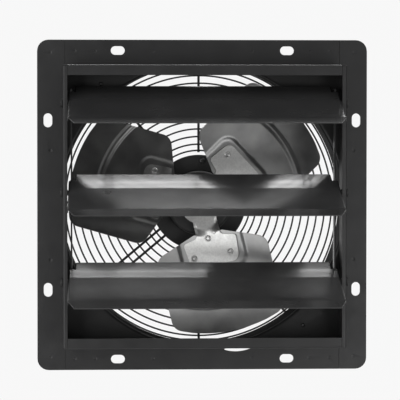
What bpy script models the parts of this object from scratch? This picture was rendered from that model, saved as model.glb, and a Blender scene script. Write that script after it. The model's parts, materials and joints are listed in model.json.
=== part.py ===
"""A shutter exhaust fan for a square wall opening.

A sheet steel frame carries three gravity louvres that a pair of tie rods makes turn together.
Behind it a three-blade fan sits on the shaft of a small motor, inside a wire guard.

Every piece is modelled in the frame's own axes: x to the right and y up, as seen from outdoors,
and z forward, out of the wall. The frame empty turns these axes so that y becomes world Z and
forward becomes world -Y. The origin is the centre of the face that meets the wall.
"""

import math

import bmesh
import bpy
from mathutils import Euler, Matrix, Vector

mm = 0.001
degree = math.pi / 180

# Clearances
seat_gap = 0.3 * mm
cut_overrun = 1.0 * mm
merge_distance = 0.02 * mm

# Frame
flange_half = 190.0 * mm
flange_corner_radius = 13.0 * mm
panel_sheet = 1.2 * mm
rail_sheet = 1.0 * mm
flange_width = 30.7 * mm
box_depth = 54.5 * mm
side_lip_width = 5.1 * mm
end_lip_width = 12.1 * mm
slot_length = 16.0 * mm
slot_width = 10.0 * mm
slot_along_edge = 97.5 * mm
slot_from_edge = 12.3 * mm

# Air inlet in the panel, and the relief at the foot of the frame
throat_overhang = 4.2 * mm
collar_bend_radius = 3.2 * mm
relief_radius = 45.0 * mm
relief_centre_x = 38.5 * mm
relief_depth = 10.1 * mm
relief_half_angle = 36 * degree
relief_margin = 1.0 * mm

# Louvres
louvre_count = 3
louvre_end_room = 16.35 * mm
middle_pivot_height = 15.9 * mm
pivot_front_room = 8.5 * mm
louvre_wall_gap = 5.4 * mm
louvre_sheet = 1.0 * mm
louvre_bend_radius = 1.6 * mm
louvre_fold_limit = 8 * degree
rear_edge_back = 31.0 * mm
rear_edge_rise = 19.8 * mm
ridge_back = 1.0 * mm
ridge_rise = 4.3 * mm
lip_fold_forward = 46.6 * mm
lip_fold_drop = 17.0 * mm
lip_end_forward = 64.5 * mm
lip_end_drop = 23.1 * mm
lip_chamfer = 7.3 * mm
lip_strip_share = 0.5
notch_width = 6.9 * mm
notch_length = 14.0 * mm
end_tab_front = 8.0 * mm
end_tab_back = 10.0 * mm
end_tab_drop = 6.5 * mm

# Louvre pivots
pivot_pin_radius = 2.0 * mm
pivot_collar_radius = 3.4 * mm
bush_barrel_radius = 3.9 * mm
bush_flange_radius = 5.2 * mm
bush_flange_thickness = 2.0 * mm
bush_inner_reach = 0.8 * mm
pin_end_reach = 0.6 * mm

# Tie rods
tie_rod_depth = 10.0 * mm
tie_rod_thickness = 1.8 * mm
tie_rod_end = 7.0 * mm
tie_rod_side_gap = 3.4 * mm
tie_rod_corner_radius = 2.5 * mm
tie_pin_back = 27.0 * mm
tie_pin_rise = 10.3 * mm
tie_pin_radius = 1.8 * mm
tie_head_radius = 3.2 * mm
tie_head_thickness = 1.0 * mm
tie_tab_drop = 4.5 * mm

# Fan
blade_count = 3
first_arm_angle = 44.2 * degree
fan_back = 35.5 * mm
blade_tip_gap = 8.5 * mm
blade_sheet = 1.2 * mm
blade_root_pitch = 25 * degree
blade_tip_pitch = 20 * degree
blade_camber = 5.0 * mm
blade_root_radius = 35.5 * mm
blade_root_half = 17.0 * mm
blade_shoulder_radius = 54.0 * mm
leading_reach = 66.6 * mm
trailing_reach = 63.5 * mm
blade_corner_radius = 14.0 * mm
spider_sheet = 2.5 * mm
pad_gap = 0.7 * mm
spider_disc_margin = 4.0 * mm
spider_bend_start = 22.0 * mm
spider_bend_length = 9.0 * mm
neck_half = 14.0 * mm
neck_end = 40.0 * mm
pad_start = 43.5 * mm
pad_end = 74.0 * mm
pad_inner_half = 31.0 * mm
pad_outer_half = 28.0 * mm
pad_corner_radius = 9.0 * mm
neck_corner_radius = 4.0 * mm
rivet_inner_radius = 42.0 * mm
rivet_outer_radius = 65.7 * mm
rivet_outer_angle = 18.9 * degree
rivet_shank_radius = 2.2 * mm
rivet_head_radius = 4.2 * mm
rivet_head_height = 1.5 * mm

# Hub and shaft
shaft_radius = 5.0 * mm
hub_wall = 7.0 * mm
hub_flange_width = 8.0 * mm
hub_flange_thickness = 3.0 * mm
hub_front_reach = 7.0 * mm
hub_sleeve_length = 7.0 * mm
hub_screw_radius = 2.0 * mm

# Wire guard
guard_face_back = 77.0 * mm
guard_throat_gap = 2.5 * mm
guard_corner_radius = 20.0 * mm
guard_first_gap = 7.45 * mm
guard_plate_gap = 5.3 * mm
guard_pitch = 9.15 * mm
guard_side_end_back = 9.0 * mm
ring_wire_radius = 1.0 * mm
rib_wire_radius = 1.5 * mm
weld_depth = 0.9 * mm
rib_end_reach = 2.3 * mm
rib_panel_gap = 0.8 * mm
rib_count = 4
support_count = 4
first_support_angle = 40 * degree
support_half_spacing = 5.0 * mm
support_foot_bend = 5.0 * mm
support_foot_length = 13.0 * mm
support_end_gap = 1.0 * mm
guard_screw_radius = 2.0 * mm
guard_washer_radius = 6.4 * mm
guard_washer_thickness = 1.2 * mm
guard_screw_head_radius = 3.8 * mm
guard_screw_head_height = 2.6 * mm

# Motor
motor_plate_margin = 2.0 * mm
motor_plate_sheet = 2.0 * mm
plate_hole_clearance = 0.8 * mm
front_bell_step = 8.0 * mm
front_bell_back = 54.0 * mm
bell_wall = 2.0 * mm
bell_edge_radius = 4.0 * mm
bearing_boss_wall = 3.0 * mm
bearing_boss_reach = 4.0 * mm
bearing_thickness = 6.0 * mm
bearing_width = 8.0 * mm
motor_shell_radius = 46.0 * mm
motor_shell_length = 42.0 * mm
motor_flange_width = 9.0 * mm
rear_bell_length = 16.0 * mm
stator_thickness = 18.0 * mm
air_gap = 0.5 * mm
stack_length = 20.0 * mm
winding_bore_gap = 3.0 * mm
winding_shell_gap = 4.0 * mm
winding_length = 6.0 * mm
motor_screw_margin = 4.5 * mm
motor_screw_radius = 2.0 * mm
motor_screw_head_radius = 3.6 * mm
motor_screw_head_height = 2.4 * mm
gland_radius = 6.0 * mm
gland_bore_radius = 3.2 * mm
gland_barrel_radius = 4.6 * mm
gland_length = 9.0 * mm
gland_seat_depth = 4.0 * mm

# Facets: how many sides round pieces have, and how many strips curved sheets have
blade_strips = 6
blade_bands = 4
tip_steps = 8
tip_corner_steps = 2
spider_bands = 3
inlet_segments = 48
collar_steps = 2
motor_segments = 20
small_segments = 8
rivet_segments = 6
ring_segments = 24
wire_bend_steps = 6
corner_steps = 3
relief_steps = 6

# Sizes that follow from the ones above
box_half = flange_half - flange_width
box_inner_half = box_half - rail_sheet
pivot_forward = box_depth - pivot_front_room
throat_radius = box_half + throat_overhang
louvre_half_width = box_inner_half - louvre_wall_gap
louvre_pitch = (2 * box_half - louvre_end_room) / louvre_count
fan_radius = throat_radius - blade_tip_gap
hub_boss_radius = shaft_radius + hub_wall
hub_flange_radius = hub_boss_radius + hub_flange_width
spider_disc_radius = hub_flange_radius + spider_disc_margin
bearing_radius = shaft_radius + bearing_thickness
bearing_boss_radius = bearing_radius + bearing_boss_wall
shell_inner_radius = motor_shell_radius - bell_wall
front_bell_radius = motor_shell_radius - front_bell_step
motor_flange_radius = motor_shell_radius + motor_flange_width
motor_plate_radius = motor_flange_radius + motor_plate_margin
motor_screw_circle = motor_shell_radius + motor_screw_margin
stator_bore_radius = shell_inner_radius - stator_thickness
winding_inner_radius = stator_bore_radius + winding_bore_gap
winding_outer_radius = shell_inner_radius - winding_shell_gap
guard_side_radius = throat_radius + guard_throat_gap
guard_inner_ring = motor_plate_radius + guard_plate_gap
guard_first_ring = guard_inner_ring + guard_first_gap
rib_inner_end = guard_inner_ring - rib_end_reach
support_inner_end = motor_shell_radius + support_end_gap
rail_back = panel_sheet + seat_gap
rail_front = rail_back + rail_sheet
blade_stack = blade_sheet / 2 + pad_gap + spider_sheet / 2
meridian_offset = ring_wire_radius + seat_gap + rib_wire_radius
rib_face_back = guard_face_back + meridian_offset
rib_side_radius = guard_side_radius + meridian_offset
plate_rear_back = rib_face_back - rib_wire_radius - seat_gap
shell_front_back = rib_face_back + rib_wire_radius + seat_gap
shell_rear_back = shell_front_back + motor_shell_length
rear_bell_front_back = shell_rear_back + seat_gap
rear_bell_rear_back = rear_bell_front_back + rear_bell_length
stack_front_back = shell_front_back + bell_wall + winding_length + 2 * seat_gap
stack_rear_back = stack_front_back + stack_length
tie_tab_x = louvre_half_width - notch_width
tie_rod_x = tie_tab_x + tie_rod_side_gap
hands = (("left", -1), ("right", 1))
pivot_heights = [middle_pivot_height + louvre_pitch * (1 - index) for index in range(louvre_count)]


def clear_scene():
    for obj in list(bpy.data.objects):
        bpy.data.objects.remove(obj, do_unlink=True)


def make_collection(name):
    collection = bpy.data.collections.new(name)
    bpy.context.scene.collection.children.link(collection)
    return collection


def make_material(name, colour, roughness, metallic):
    material = bpy.data.materials.new(name)
    material.use_nodes = True
    shader = material.node_tree.nodes["Principled BSDF"]
    shader.inputs["Base Color"].default_value = (*colour, 1.0)
    shader.inputs["Roughness"].default_value = roughness
    shader.inputs["Metallic"].default_value = metallic
    material.diffuse_color = (*colour, 1.0)
    return material


def add_empty(name, parent=None, location=(0, 0, 0), rotation=(0, 0, 0)):
    empty = bpy.data.objects.new(name, None)
    parts.objects.link(empty)
    empty.parent = parent
    empty.location = location
    empty.rotation_euler = rotation
    return empty


def add_part(name, data, material, parent, location=(0, 0, 0), rotation=(0, 0, 0)):
    obj = bpy.data.objects.new(name, data)
    parts.objects.link(obj)
    obj.parent = parent
    obj.location = location
    obj.rotation_euler = rotation
    obj.data.materials.clear()
    obj.data.materials.append(material)
    return obj


def add_cutter(name, mesh, parent, location=(0, 0, 0), rotation=(0, 0, 0)):
    obj = bpy.data.objects.new(name, mesh)
    cutters.objects.link(obj)
    obj.parent = parent
    obj.location = location
    obj.rotation_euler = rotation
    obj.hide_render = True
    obj.display_type = "WIRE"
    return obj


def add_boolean(obj, other, operation):
    modifier = obj.modifiers.new(operation.lower(), "BOOLEAN")
    modifier.operation = operation
    modifier.solver = "EXACT"
    modifier.object = other


def bake(data, modify=None):
    """The mesh that a curve or a modified mesh makes, with its loose points welded."""
    source = bpy.data.objects.new("source", data)
    cutters.objects.link(source)
    if modify:
        modify(source)
    bpy.context.view_layer.update()
    evaluated = source.evaluated_get(bpy.context.evaluated_depsgraph_get())
    mesh = bpy.data.meshes.new_from_object(evaluated)
    bpy.data.objects.remove(source, do_unlink=True)
    sheet = bmesh.new()
    sheet.from_mesh(mesh)
    bmesh.ops.remove_doubles(sheet, verts=sheet.verts, dist=merge_distance)
    sheet.to_mesh(mesh)
    sheet.free()
    return mesh


def outline_curve(outlines, thickness):
    """A filled flat curve: the first outline is the edge, and the others are holes in it."""
    curve = bpy.data.curves.new("outline", "CURVE")
    curve.dimensions = "2D"
    curve.fill_mode = "BOTH"
    curve.extrude = thickness / 2
    for points in outlines:
        spline = curve.splines.new("POLY")
        spline.points.add(len(points) - 1)
        for target, (x, y) in zip(spline.points, points):
            target.co = (x, y, 0, 1)
        spline.use_cyclic_u = True
    return curve


def plate_mesh(outlines, thickness):
    return bake(outline_curve(outlines, thickness))


def turned_mesh(profile, segments):
    """A turned solid about z. The profile (radius, z) runs from the front down its outer side."""
    closed = profile[0][0] > 0
    mesh = bpy.data.meshes.new("profile")
    edges = [(index, index + 1) for index in range(len(profile) - 1)]
    if closed:
        edges.append((len(profile) - 1, 0))
    mesh.from_pydata([(radius, 0, z) for radius, z in profile], edges, [])

    def screw(obj):
        modifier = obj.modifiers.new("turn", "SCREW")
        modifier.axis = "Z"
        modifier.steps = segments
        modifier.render_steps = segments
        modifier.use_merge_vertices = True
        modifier.merge_threshold = merge_distance
        modifier.use_smooth_shade = False

    return bake(mesh, screw)


def bar_mesh(radius, front, back, segments=small_segments):
    return turned_mesh([(0, front), (radius, front), (radius, back), (0, back)], segments)


def ring_mesh(outer, inner, front, back, segments):
    return turned_mesh([(inner, front), (outer, front), (outer, back), (inner, back)], segments)


def box_mesh(low, high):
    box = bmesh.new()
    size = Vector(high) - Vector(low)
    centre = (Vector(high) + Vector(low)) / 2
    bmesh.ops.create_cube(box, size=1, matrix=Matrix.Translation(centre) @ Matrix.Diagonal((*size, 1)))
    mesh = bpy.data.meshes.new("box")
    box.to_mesh(mesh)
    box.free()
    return mesh


def copies_mesh(mesh, places):
    """One mesh that holds a separate copy of a solid at each place."""
    group = bmesh.new()
    for place in places:
        copy = mesh.copy()
        copy.transform(place)
        group.from_mesh(copy)
        bpy.data.meshes.remove(copy)
    merged = bpy.data.meshes.new("copies")
    group.to_mesh(merged)
    group.free()
    return merged


def turn_along_x(side):
    """Turns a piece made about z so that its front points outward, to the right or to the left."""
    return (0, side * math.pi / 2, 0)


def along_x(side):
    return Euler(turn_along_x(side)).to_matrix().to_4x4()


def wire_curve(paths, radius, cyclic, resolution=0):
    curve = bpy.data.curves.new("wire", "CURVE")
    curve.dimensions = "3D"
    curve.bevel_depth = radius
    curve.bevel_resolution = resolution
    curve.use_fill_caps = not cyclic
    for path in paths:
        spline = curve.splines.new("POLY")
        spline.points.add(len(path) - 1)
        for target, point in zip(spline.points, path):
            target.co = (*point, 1)
        spline.use_cyclic_u = cyclic
    return curve


def arc_points(centre, radius, start, end, steps):
    points = []
    for index in range(steps + 1):
        angle = start + (end - start) * index / steps
        points.append((centre[0] + radius * math.cos(angle), centre[1] + radius * math.sin(angle)))
    return points


def circle_points(centre, radius, segments):
    return arc_points(centre, radius, 0, 2 * math.pi * (segments - 1) / segments, segments - 1)


def rounded_outline(corners):
    """Points of a polygon whose corners (x, y, radius) are rounded where the radius isn't zero."""
    points = []
    for index, (x, y, radius) in enumerate(corners):
        corner = Vector((x, y))
        if radius == 0:
            points.append((x, y))
            continue
        before = (Vector(corners[index - 1][:2]) - corner).normalized()
        after = (Vector(corners[(index + 1) % len(corners)][:2]) - corner).normalized()
        half_angle = before.angle(after) / 2
        reach = radius / math.tan(half_angle)
        centre = corner + (before + after).normalized() * radius / math.sin(half_angle)
        start = corner + before * reach - centre
        end = corner + after * reach - centre
        turn = start.angle_signed(end)
        for step in range(corner_steps + 1):
            spoke = Matrix.Rotation(-turn * step / corner_steps, 2) @ start
            points.append(tuple(centre + spoke))
    return points


def rectangle_corners(left, bottom, right, top, radius=0):
    return [(left, bottom, radius), (right, bottom, radius), (right, top, radius), (left, top, radius)]


def slot_outline(x, y, along_x_axis):
    """A round-ended slot whose long side follows the edge that it lies along."""
    half_run = (slot_length - slot_width) / 2
    radius = slot_width / 2
    right = arc_points((half_run, 0), radius, -math.pi / 2, math.pi / 2, 2 * corner_steps)
    left = arc_points((-half_run, 0), radius, math.pi / 2, 3 * math.pi / 2, 2 * corner_steps)
    if along_x_axis:
        return [(x + run, y + across) for run, across in right + left]
    return [(x - across, y + run) for run, across in right + left]


def edge_slots(x_sides, y_sides):
    """Slots on the named sides of the flange: x_sides lie left or right, y_sides below or above."""
    middle = flange_half - slot_from_edge
    slots = []
    for step in (-1, 1):
        for side in x_sides:
            slots.append(slot_outline(side * middle, step * slot_along_edge, False))
        for side in y_sides:
            slots.append(slot_outline(step * slot_along_edge, side * middle, True))
    return slots


def relief_outline(floor):
    """The shallow arc relief at the foot of the frame, open upward at the given height."""
    bottom = -(box_half + relief_depth)
    centre = (relief_centre_x, bottom + relief_radius)
    half_angle = math.acos((centre[1] - floor) / relief_radius)
    start = -math.pi / 2 - half_angle
    end = -math.pi / 2 + half_angle
    return arc_points(centre, relief_radius, start, end, 2 * corner_steps)


def panel_relief():
    """The same relief in the panel, where it keeps clear of the inlet's bend."""
    bend = throat_radius + panel_sheet / 2 + collar_bend_radius + relief_margin
    centre_y = -(box_half + relief_depth) + relief_radius
    lower = []
    upper = []
    for step in range(-relief_steps, relief_steps + 1):
        offset = relief_radius * math.sin(relief_half_angle * step / relief_steps)
        x = relief_centre_x + offset
        bottom = centre_y - math.sqrt(relief_radius**2 - offset**2)
        top = min(-box_half - rail_sheet, -math.sqrt(bend**2 - x**2))
        if top - bottom > relief_margin:
            lower.append((x, bottom))
            upper.append((x, top))
    return lower + upper[::-1]


def side_rail(name, side):
    """A left or right rail: a flange strip with rounded ends, the box wall and its return lip."""
    inner = side * box_inner_half
    outer = side * flange_half
    corners = [
        (inner, -flange_half, 0),
        (outer, -flange_half, flange_corner_radius),
        (outer, flange_half, flange_corner_radius),
        (inner, flange_half, 0),
    ]
    flange = plate_mesh([rounded_outline(corners)] + edge_slots([side], []), rail_sheet)
    rail = add_part(name, flange, black_steel, frame, (0, 0, (rail_back + rail_front) / 2))
    wall_low = (min(inner, side * box_half), -box_half, (rail_back + rail_front) / 2)
    wall_high = (max(inner, side * box_half), box_half, box_depth)
    add_boolean(rail, add_cutter(name + "_wall", box_mesh(wall_low, wall_high), frame), "UNION")
    lip_edge = side * (box_half - side_lip_width)
    wall_middle = side * (box_half - rail_sheet / 2)
    lip_half = box_inner_half - seat_gap
    lip_low = (min(lip_edge, wall_middle), -lip_half, box_depth - rail_sheet)
    lip_high = (max(lip_edge, wall_middle), lip_half, box_depth)
    add_boolean(rail, add_cutter(name + "_lip", box_mesh(lip_low, lip_high), frame), "UNION")
    hole = bar_mesh(bush_barrel_radius + seat_gap, box_half + cut_overrun, box_inner_half - cut_overrun)
    places = [Matrix.Translation((0, height, pivot_forward)) @ along_x(side) for height in pivot_heights]
    add_boolean(rail, add_cutter(name + "_bush_holes", copies_mesh(hole, places), frame), "DIFFERENCE")


def end_rail(name, side, relief):
    """The top or bottom rail, which fits between the side rails."""
    half_run = box_inner_half - seat_gap
    inner = side * box_inner_half
    outer = side * flange_half
    outline = rounded_outline(rectangle_corners(-half_run, min(inner, outer), half_run, max(inner, outer)))
    outlines = [outline] + edge_slots([], [side])
    flange = plate_mesh(outlines, rail_sheet)
    rail = add_part(name, flange, black_steel, frame, (0, 0, (rail_back + rail_front) / 2))
    wall_low = (-half_run, min(inner, side * box_half), (rail_back + rail_front) / 2)
    wall_high = (half_run, max(inner, side * box_half), box_depth)
    add_boolean(rail, add_cutter(name + "_wall", box_mesh(wall_low, wall_high), frame), "UNION")
    lip_half = box_half - side_lip_width - seat_gap
    lip_edge = side * (box_half - end_lip_width)
    wall_middle = side * (box_half - rail_sheet / 2)
    lip_low = (-lip_half, min(lip_edge, wall_middle), box_depth - rail_sheet)
    lip_high = (lip_half, max(lip_edge, wall_middle), box_depth)
    add_boolean(rail, add_cutter(name + "_lip", box_mesh(lip_low, lip_high), frame), "UNION")
    if relief:
        floor = -box_half - rail_sheet
        cut = plate_mesh([relief_outline(floor)], 2 * rail_front)
        place = (0, 0, (rail_back + rail_front) / 2)
        add_boolean(rail, add_cutter(name + "_relief", cut, frame, place), "DIFFERENCE")


def fan_panel():
    """The square plate on the wall side, with its round air inlet drawn back into a short collar."""
    corners = rectangle_corners(-flange_half, -flange_half, flange_half, flange_half, flange_corner_radius)
    bend_start = throat_radius + panel_sheet / 2 + collar_bend_radius
    outlines = [rounded_outline(corners), circle_points((0, 0), bend_start, inlet_segments)]
    outlines += edge_slots([-1, 1], [-1, 1])
    outlines.append(panel_relief())
    screw_hole = guard_screw_radius + seat_gap
    for x, y in support_screw_places():
        outlines.append(circle_points((x, y), screw_hole, small_segments))
    blank = plate_mesh(outlines, 0)
    sheet = bmesh.new()
    sheet.from_mesh(blank)
    even_out(sheet)
    rim = [edge for edge in sheet.edges if edge.is_boundary and on_circle(edge, bend_start)]
    for step in range(1, collar_steps + 2):
        extruded = bmesh.ops.extrude_edge_only(sheet, edges=rim)["geom"]
        ring = [item for item in extruded if isinstance(item, bmesh.types.BMVert)]
        rim = [item for item in extruded if isinstance(item, bmesh.types.BMEdge)]
        angle = min(step, collar_steps) / collar_steps * math.pi / 2
        radius = bend_start - collar_bend_radius * math.sin(angle)
        depth = collar_bend_radius * (1 - math.cos(angle))
        if step > collar_steps:
            depth += panel_sheet
        for vert in ring:
            vert.co = Vector((*(vert.co.xy.normalized() * radius), -depth))
    bmesh.ops.recalc_face_normals(sheet, faces=sheet.faces)
    sheet.to_mesh(blank)
    sheet.free()
    panel = add_part("fan_panel", blank, panel_black, frame, (0, 0, panel_sheet / 2))
    solidify(panel, panel_sheet)


def on_circle(edge, radius):
    return all(abs(vert.co.xy.length - radius) < merge_distance for vert in edge.verts)


def solidify(obj, thickness):
    """Gives an open sheet its thickness, half to each side."""
    modifier = obj.modifiers.new("thickness", "SOLIDIFY")
    modifier.thickness = thickness
    modifier.offset = 0
    modifier.use_even_offset = True


def pivot_bushes():
    """Plastic bushes in the side walls, one at each end of each louvre."""
    bore = pivot_pin_radius + seat_gap
    flange_back = box_half + seat_gap
    barrel_end = box_inner_half - bush_inner_reach
    profile = [
        (bore, flange_back + bush_flange_thickness),
        (bush_flange_radius, flange_back + bush_flange_thickness),
        (bush_flange_radius, flange_back),
        (bush_barrel_radius, flange_back),
        (bush_barrel_radius, barrel_end),
        (bore, barrel_end),
    ]
    bush = turned_mesh(profile, small_segments)
    for hand, side in hands:
        for index, height in enumerate(pivot_heights):
            name = f"pivot_bush_{hand}_{index + 1}"
            add_part(name, bush.copy(), bush_plastic, frame, (0, height, pivot_forward), turn_along_x(side))


def rear_slope(forward):
    """Height of the louvre's rear panel, in the louvre's own section."""
    share = (forward + rear_edge_back) / (rear_edge_back - ridge_back)
    return rear_edge_rise + (ridge_rise - rear_edge_rise) * share


def front_slope(forward):
    """Height of the louvre's front panel, in the louvre's own section."""
    share = (forward + ridge_back) / (lip_fold_forward + ridge_back)
    return ridge_rise - (lip_fold_drop + ridge_rise) * share


def louvre_mesh():
    """The folded louvre sheet with its end tabs and tie tabs, before it gets its thickness."""
    notch_end = -rear_edge_back + notch_length
    inner = tie_tab_x
    lip_corner = louvre_half_width - lip_chamfer
    rows = [
        (-rear_edge_back, rear_edge_rise, louvre_half_width, inner),
        (notch_end, rear_slope(notch_end), louvre_half_width, inner),
        (-end_tab_back, rear_slope(-end_tab_back), louvre_half_width, inner),
        (-ridge_back, ridge_rise, louvre_half_width, inner),
        (end_tab_front, front_slope(end_tab_front), louvre_half_width, inner),
        (lip_fold_forward, -lip_fold_drop, louvre_half_width, inner),
        (lip_end_forward, -lip_end_drop, lip_corner, lip_corner * lip_strip_share),
    ]
    sheet = bmesh.new()
    lines = []
    for forward, height, outer_x, inner_x in rows:
        lines.append([sheet.verts.new((x, height, forward)) for x in (-outer_x, -inner_x, inner_x, outer_x)])
    for line, next_line in zip(lines, lines[1:]):
        for column in range(len(line) - 1):
            sheet.faces.new((line[column], line[column + 1], next_line[column + 1], next_line[column]))
    notches = [
        face
        for face in sheet.faces
        if abs(face.calc_center_median().x) > inner and face.calc_center_median().z < notch_end
    ]
    bmesh.ops.delete(sheet, geom=notches, context="FACES")
    tie_edges = boundary_edges(sheet, tie_tab_x, -rear_edge_back, notch_end)
    end_edges = boundary_edges(sheet, louvre_half_width, -end_tab_back, end_tab_front)
    fold_down(sheet, tie_edges, tie_pin_rise - tie_tab_drop)
    fold_down(sheet, end_edges, -end_tab_drop)
    bmesh.ops.recalc_face_normals(sheet, faces=sheet.faces)
    mesh = bpy.data.meshes.new("louvre")
    sheet.to_mesh(mesh)
    sheet.free()
    return mesh


def boundary_edges(sheet, x, back, front):
    """Edges of the sheet along one end line, on both sides, between two stations."""
    chosen = []
    for edge in sheet.edges:
        middle = (edge.verts[0].co + edge.verts[1].co) / 2
        on_line = all(abs(abs(vert.co.x) - x) < merge_distance for vert in edge.verts)
        if edge.is_boundary and on_line and back < middle.z < front:
            chosen.append(edge)
    return chosen


def fold_down(sheet, edges, height):
    """Bends a tab down from the given edges to a straight lower edge at the given height."""
    extruded = bmesh.ops.extrude_edge_only(sheet, edges=edges)["geom"]
    for item in extruded:
        if isinstance(item, bmesh.types.BMVert):
            item.co.y = height


def louvre(index, pivot):
    """One louvre with its pivot pins and tie pins, all carried on the pivot."""
    name = f"louvre_{index + 1}"
    blade = add_part(name, louvre_mesh(), louvre_black, pivot)
    bevel = blade.modifiers.new("folds", "BEVEL")
    bevel.width = louvre_bend_radius
    bevel.segments = 2
    bevel.limit_method = "ANGLE"
    bevel.angle_limit = louvre_fold_limit
    solidify(blade, louvre_sheet)
    inside = louvre_half_width - cut_overrun - louvre_sheet
    outside = louvre_half_width + cut_overrun + louvre_sheet
    pin_hole = bar_mesh(pivot_pin_radius + seat_gap, outside, inside)
    pin_places = [along_x(side) for _, side in hands]
    holes = add_cutter(name + "_pin_holes", copies_mesh(pin_hole, pin_places), pivot)
    add_boolean(blade, holes, "DIFFERENCE")
    inside = tie_tab_x - cut_overrun - louvre_sheet
    outside = tie_tab_x + cut_overrun + louvre_sheet
    tie_hole = bar_mesh(tie_pin_radius + seat_gap, outside, inside)
    tie_shift = Matrix.Translation((0, tie_pin_rise, -tie_pin_back))
    tie_places = [tie_shift @ place for place in pin_places]
    holes = add_cutter(name + "_tie_holes", copies_mesh(tie_hole, tie_places), pivot)
    add_boolean(blade, holes, "DIFFERENCE")
    tie_place = (0, tie_pin_rise, -tie_pin_back)
    for hand, side in hands:
        turn = turn_along_x(side)
        add_part(f"pivot_pin_{hand}_{index + 1}", pivot_pin_mesh(), pin_steel, pivot, (0, 0, 0), turn)
        add_part(f"tie_pin_{hand}_{index + 1}", tie_pin_mesh(), pin_steel, pivot, tie_place, turn)


def pivot_pin_mesh():
    """A shouldered pin from the louvre's end tab out through the bush in the wall."""
    tip = box_half + seat_gap + bush_flange_thickness + pin_end_reach
    collar_front = box_inner_half - bush_inner_reach - seat_gap
    collar_back = louvre_half_width + louvre_sheet / 2 + seat_gap
    root = louvre_half_width - louvre_sheet / 2
    profile = [
        (0, tip),
        (pivot_pin_radius, tip),
        (pivot_pin_radius, collar_front),
        (pivot_collar_radius, collar_front),
        (pivot_collar_radius, collar_back),
        (pivot_pin_radius, collar_back),
        (pivot_pin_radius, root),
        (0, root),
    ]
    return turned_mesh(profile, small_segments)


def tie_pin_mesh():
    """A rivet pin through the tie tab and the tie rod, with a head at each end."""
    outer_seat = tie_rod_x + tie_rod_thickness + seat_gap
    inner_seat = tie_tab_x - louvre_sheet / 2 - seat_gap
    profile = [
        (0, outer_seat + tie_head_thickness),
        (tie_head_radius, outer_seat + tie_head_thickness),
        (tie_head_radius, outer_seat),
        (tie_pin_radius, outer_seat),
        (tie_pin_radius, inner_seat),
        (tie_head_radius, inner_seat),
        (tie_head_radius, inner_seat - tie_head_thickness),
        (0, inner_seat - tie_head_thickness),
    ]
    return turned_mesh(profile, small_segments)


def tie_rod(name, side, pivot):
    """A flat bar that joins the three louvres, drawn about the middle louvre's tie pin."""
    half_length = louvre_pitch + tie_rod_end
    half_depth = tie_rod_depth / 2
    corners = rectangle_corners(-half_depth, -half_length, half_depth, half_length, tie_rod_corner_radius)
    outlines = [rounded_outline(corners)]
    for height in pivot_heights:
        centre = (0, height - middle_pivot_height)
        outlines.append(circle_points(centre, tie_pin_radius + seat_gap, small_segments))
    rod = plate_mesh(outlines, tie_rod_thickness)
    middle_x = side * (tie_rod_x + tie_rod_thickness / 2)
    add_part(name, rod, louvre_black, pivot, (middle_x, 0, 0), (0, math.pi / 2, 0))


def blade_rise(along, across):
    """How far forward the blade's middle surface lies, along its arm and across it."""
    share = along / fan_radius
    pitch = blade_root_pitch + (blade_tip_pitch - blade_root_pitch) * share
    bow = blade_camber * (1 - (across / leading_reach) ** 2)
    return across * math.tan(pitch) - bow


def spider_rise(x, y):
    """How far forward the spider lies: flat at the hub, and on the blade's front at each pad."""
    best_along = 0
    best_across = 0
    for index in range(blade_count):
        angle = arm_angle(index)
        along = x * math.cos(angle) + y * math.sin(angle)
        if along > best_along:
            best_along = along
            best_across = -x * math.sin(angle) + y * math.cos(angle)
    bend = min(1, max(0, (best_along - spider_bend_start) / spider_bend_length))
    lift = blade_stack / math.cos(blade_root_pitch)
    return bend * (blade_rise(best_along, best_across) + blade_camber) - blade_camber + lift


def arm_angle(index):
    return first_arm_angle + 2 * math.pi * index / blade_count


def even_out(sheet):
    """Turns the inner edges of a filled outline so that its triangles are less thin."""
    inner = [edge for edge in sheet.edges if not edge.is_boundary]
    bmesh.ops.beautify_fill(sheet, faces=sheet.faces, edges=inner, method="ANGLE")


def evenly(low, high, count):
    """The stations that part a length into equal strips, without its two ends."""
    return [low + (high - low) * index / count for index in range(1, count)]


def cut_into_strips(sheet, normal, stations):
    """Cuts a flat sheet along straight lines at the given distances, so that it can be curved."""
    for station in stations:
        centre = normal * station
        geometry = list(sheet.verts) + list(sheet.edges) + list(sheet.faces)
        bmesh.ops.bisect_plane(sheet, geom=geometry, plane_co=centre, plane_no=normal, dist=merge_distance)


def pressed_sheet(outlines, cuts, rise):
    """A flat blank pressed into shape: the rise gives each point's height."""
    blank = plate_mesh(outlines, 0)
    sheet = bmesh.new()
    sheet.from_mesh(blank)
    for normal, stations in cuts:
        cut_into_strips(sheet, normal, stations)
    for vert in sheet.verts:
        vert.co.z = rise(vert.co.x, vert.co.y)
    bmesh.ops.recalc_face_normals(sheet, faces=sheet.faces)
    sheet.to_mesh(blank)
    sheet.free()
    return blank


def blade_outline():
    leading_tip = math.sqrt(fan_radius**2 - leading_reach**2)
    trailing_tip = math.sqrt(fan_radius**2 - trailing_reach**2)
    start = math.atan2(-leading_reach, leading_tip)
    end = math.atan2(trailing_reach, trailing_tip)
    tip = arc_points((0, 0), fan_radius, start, end, tip_steps)
    tip = tip[tip_corner_steps:-tip_corner_steps]
    corners = [
        (blade_root_radius, -blade_root_half, 0),
        (blade_shoulder_radius, -leading_reach, blade_corner_radius),
        (leading_tip, -leading_reach, blade_corner_radius),
    ]
    corners += [(x, y, 0) for x, y in tip]
    corners += [
        (trailing_tip, trailing_reach, blade_corner_radius),
        (blade_shoulder_radius, trailing_reach, blade_corner_radius),
        (blade_root_radius, blade_root_half, 0),
    ]
    return rounded_outline(corners)


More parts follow.
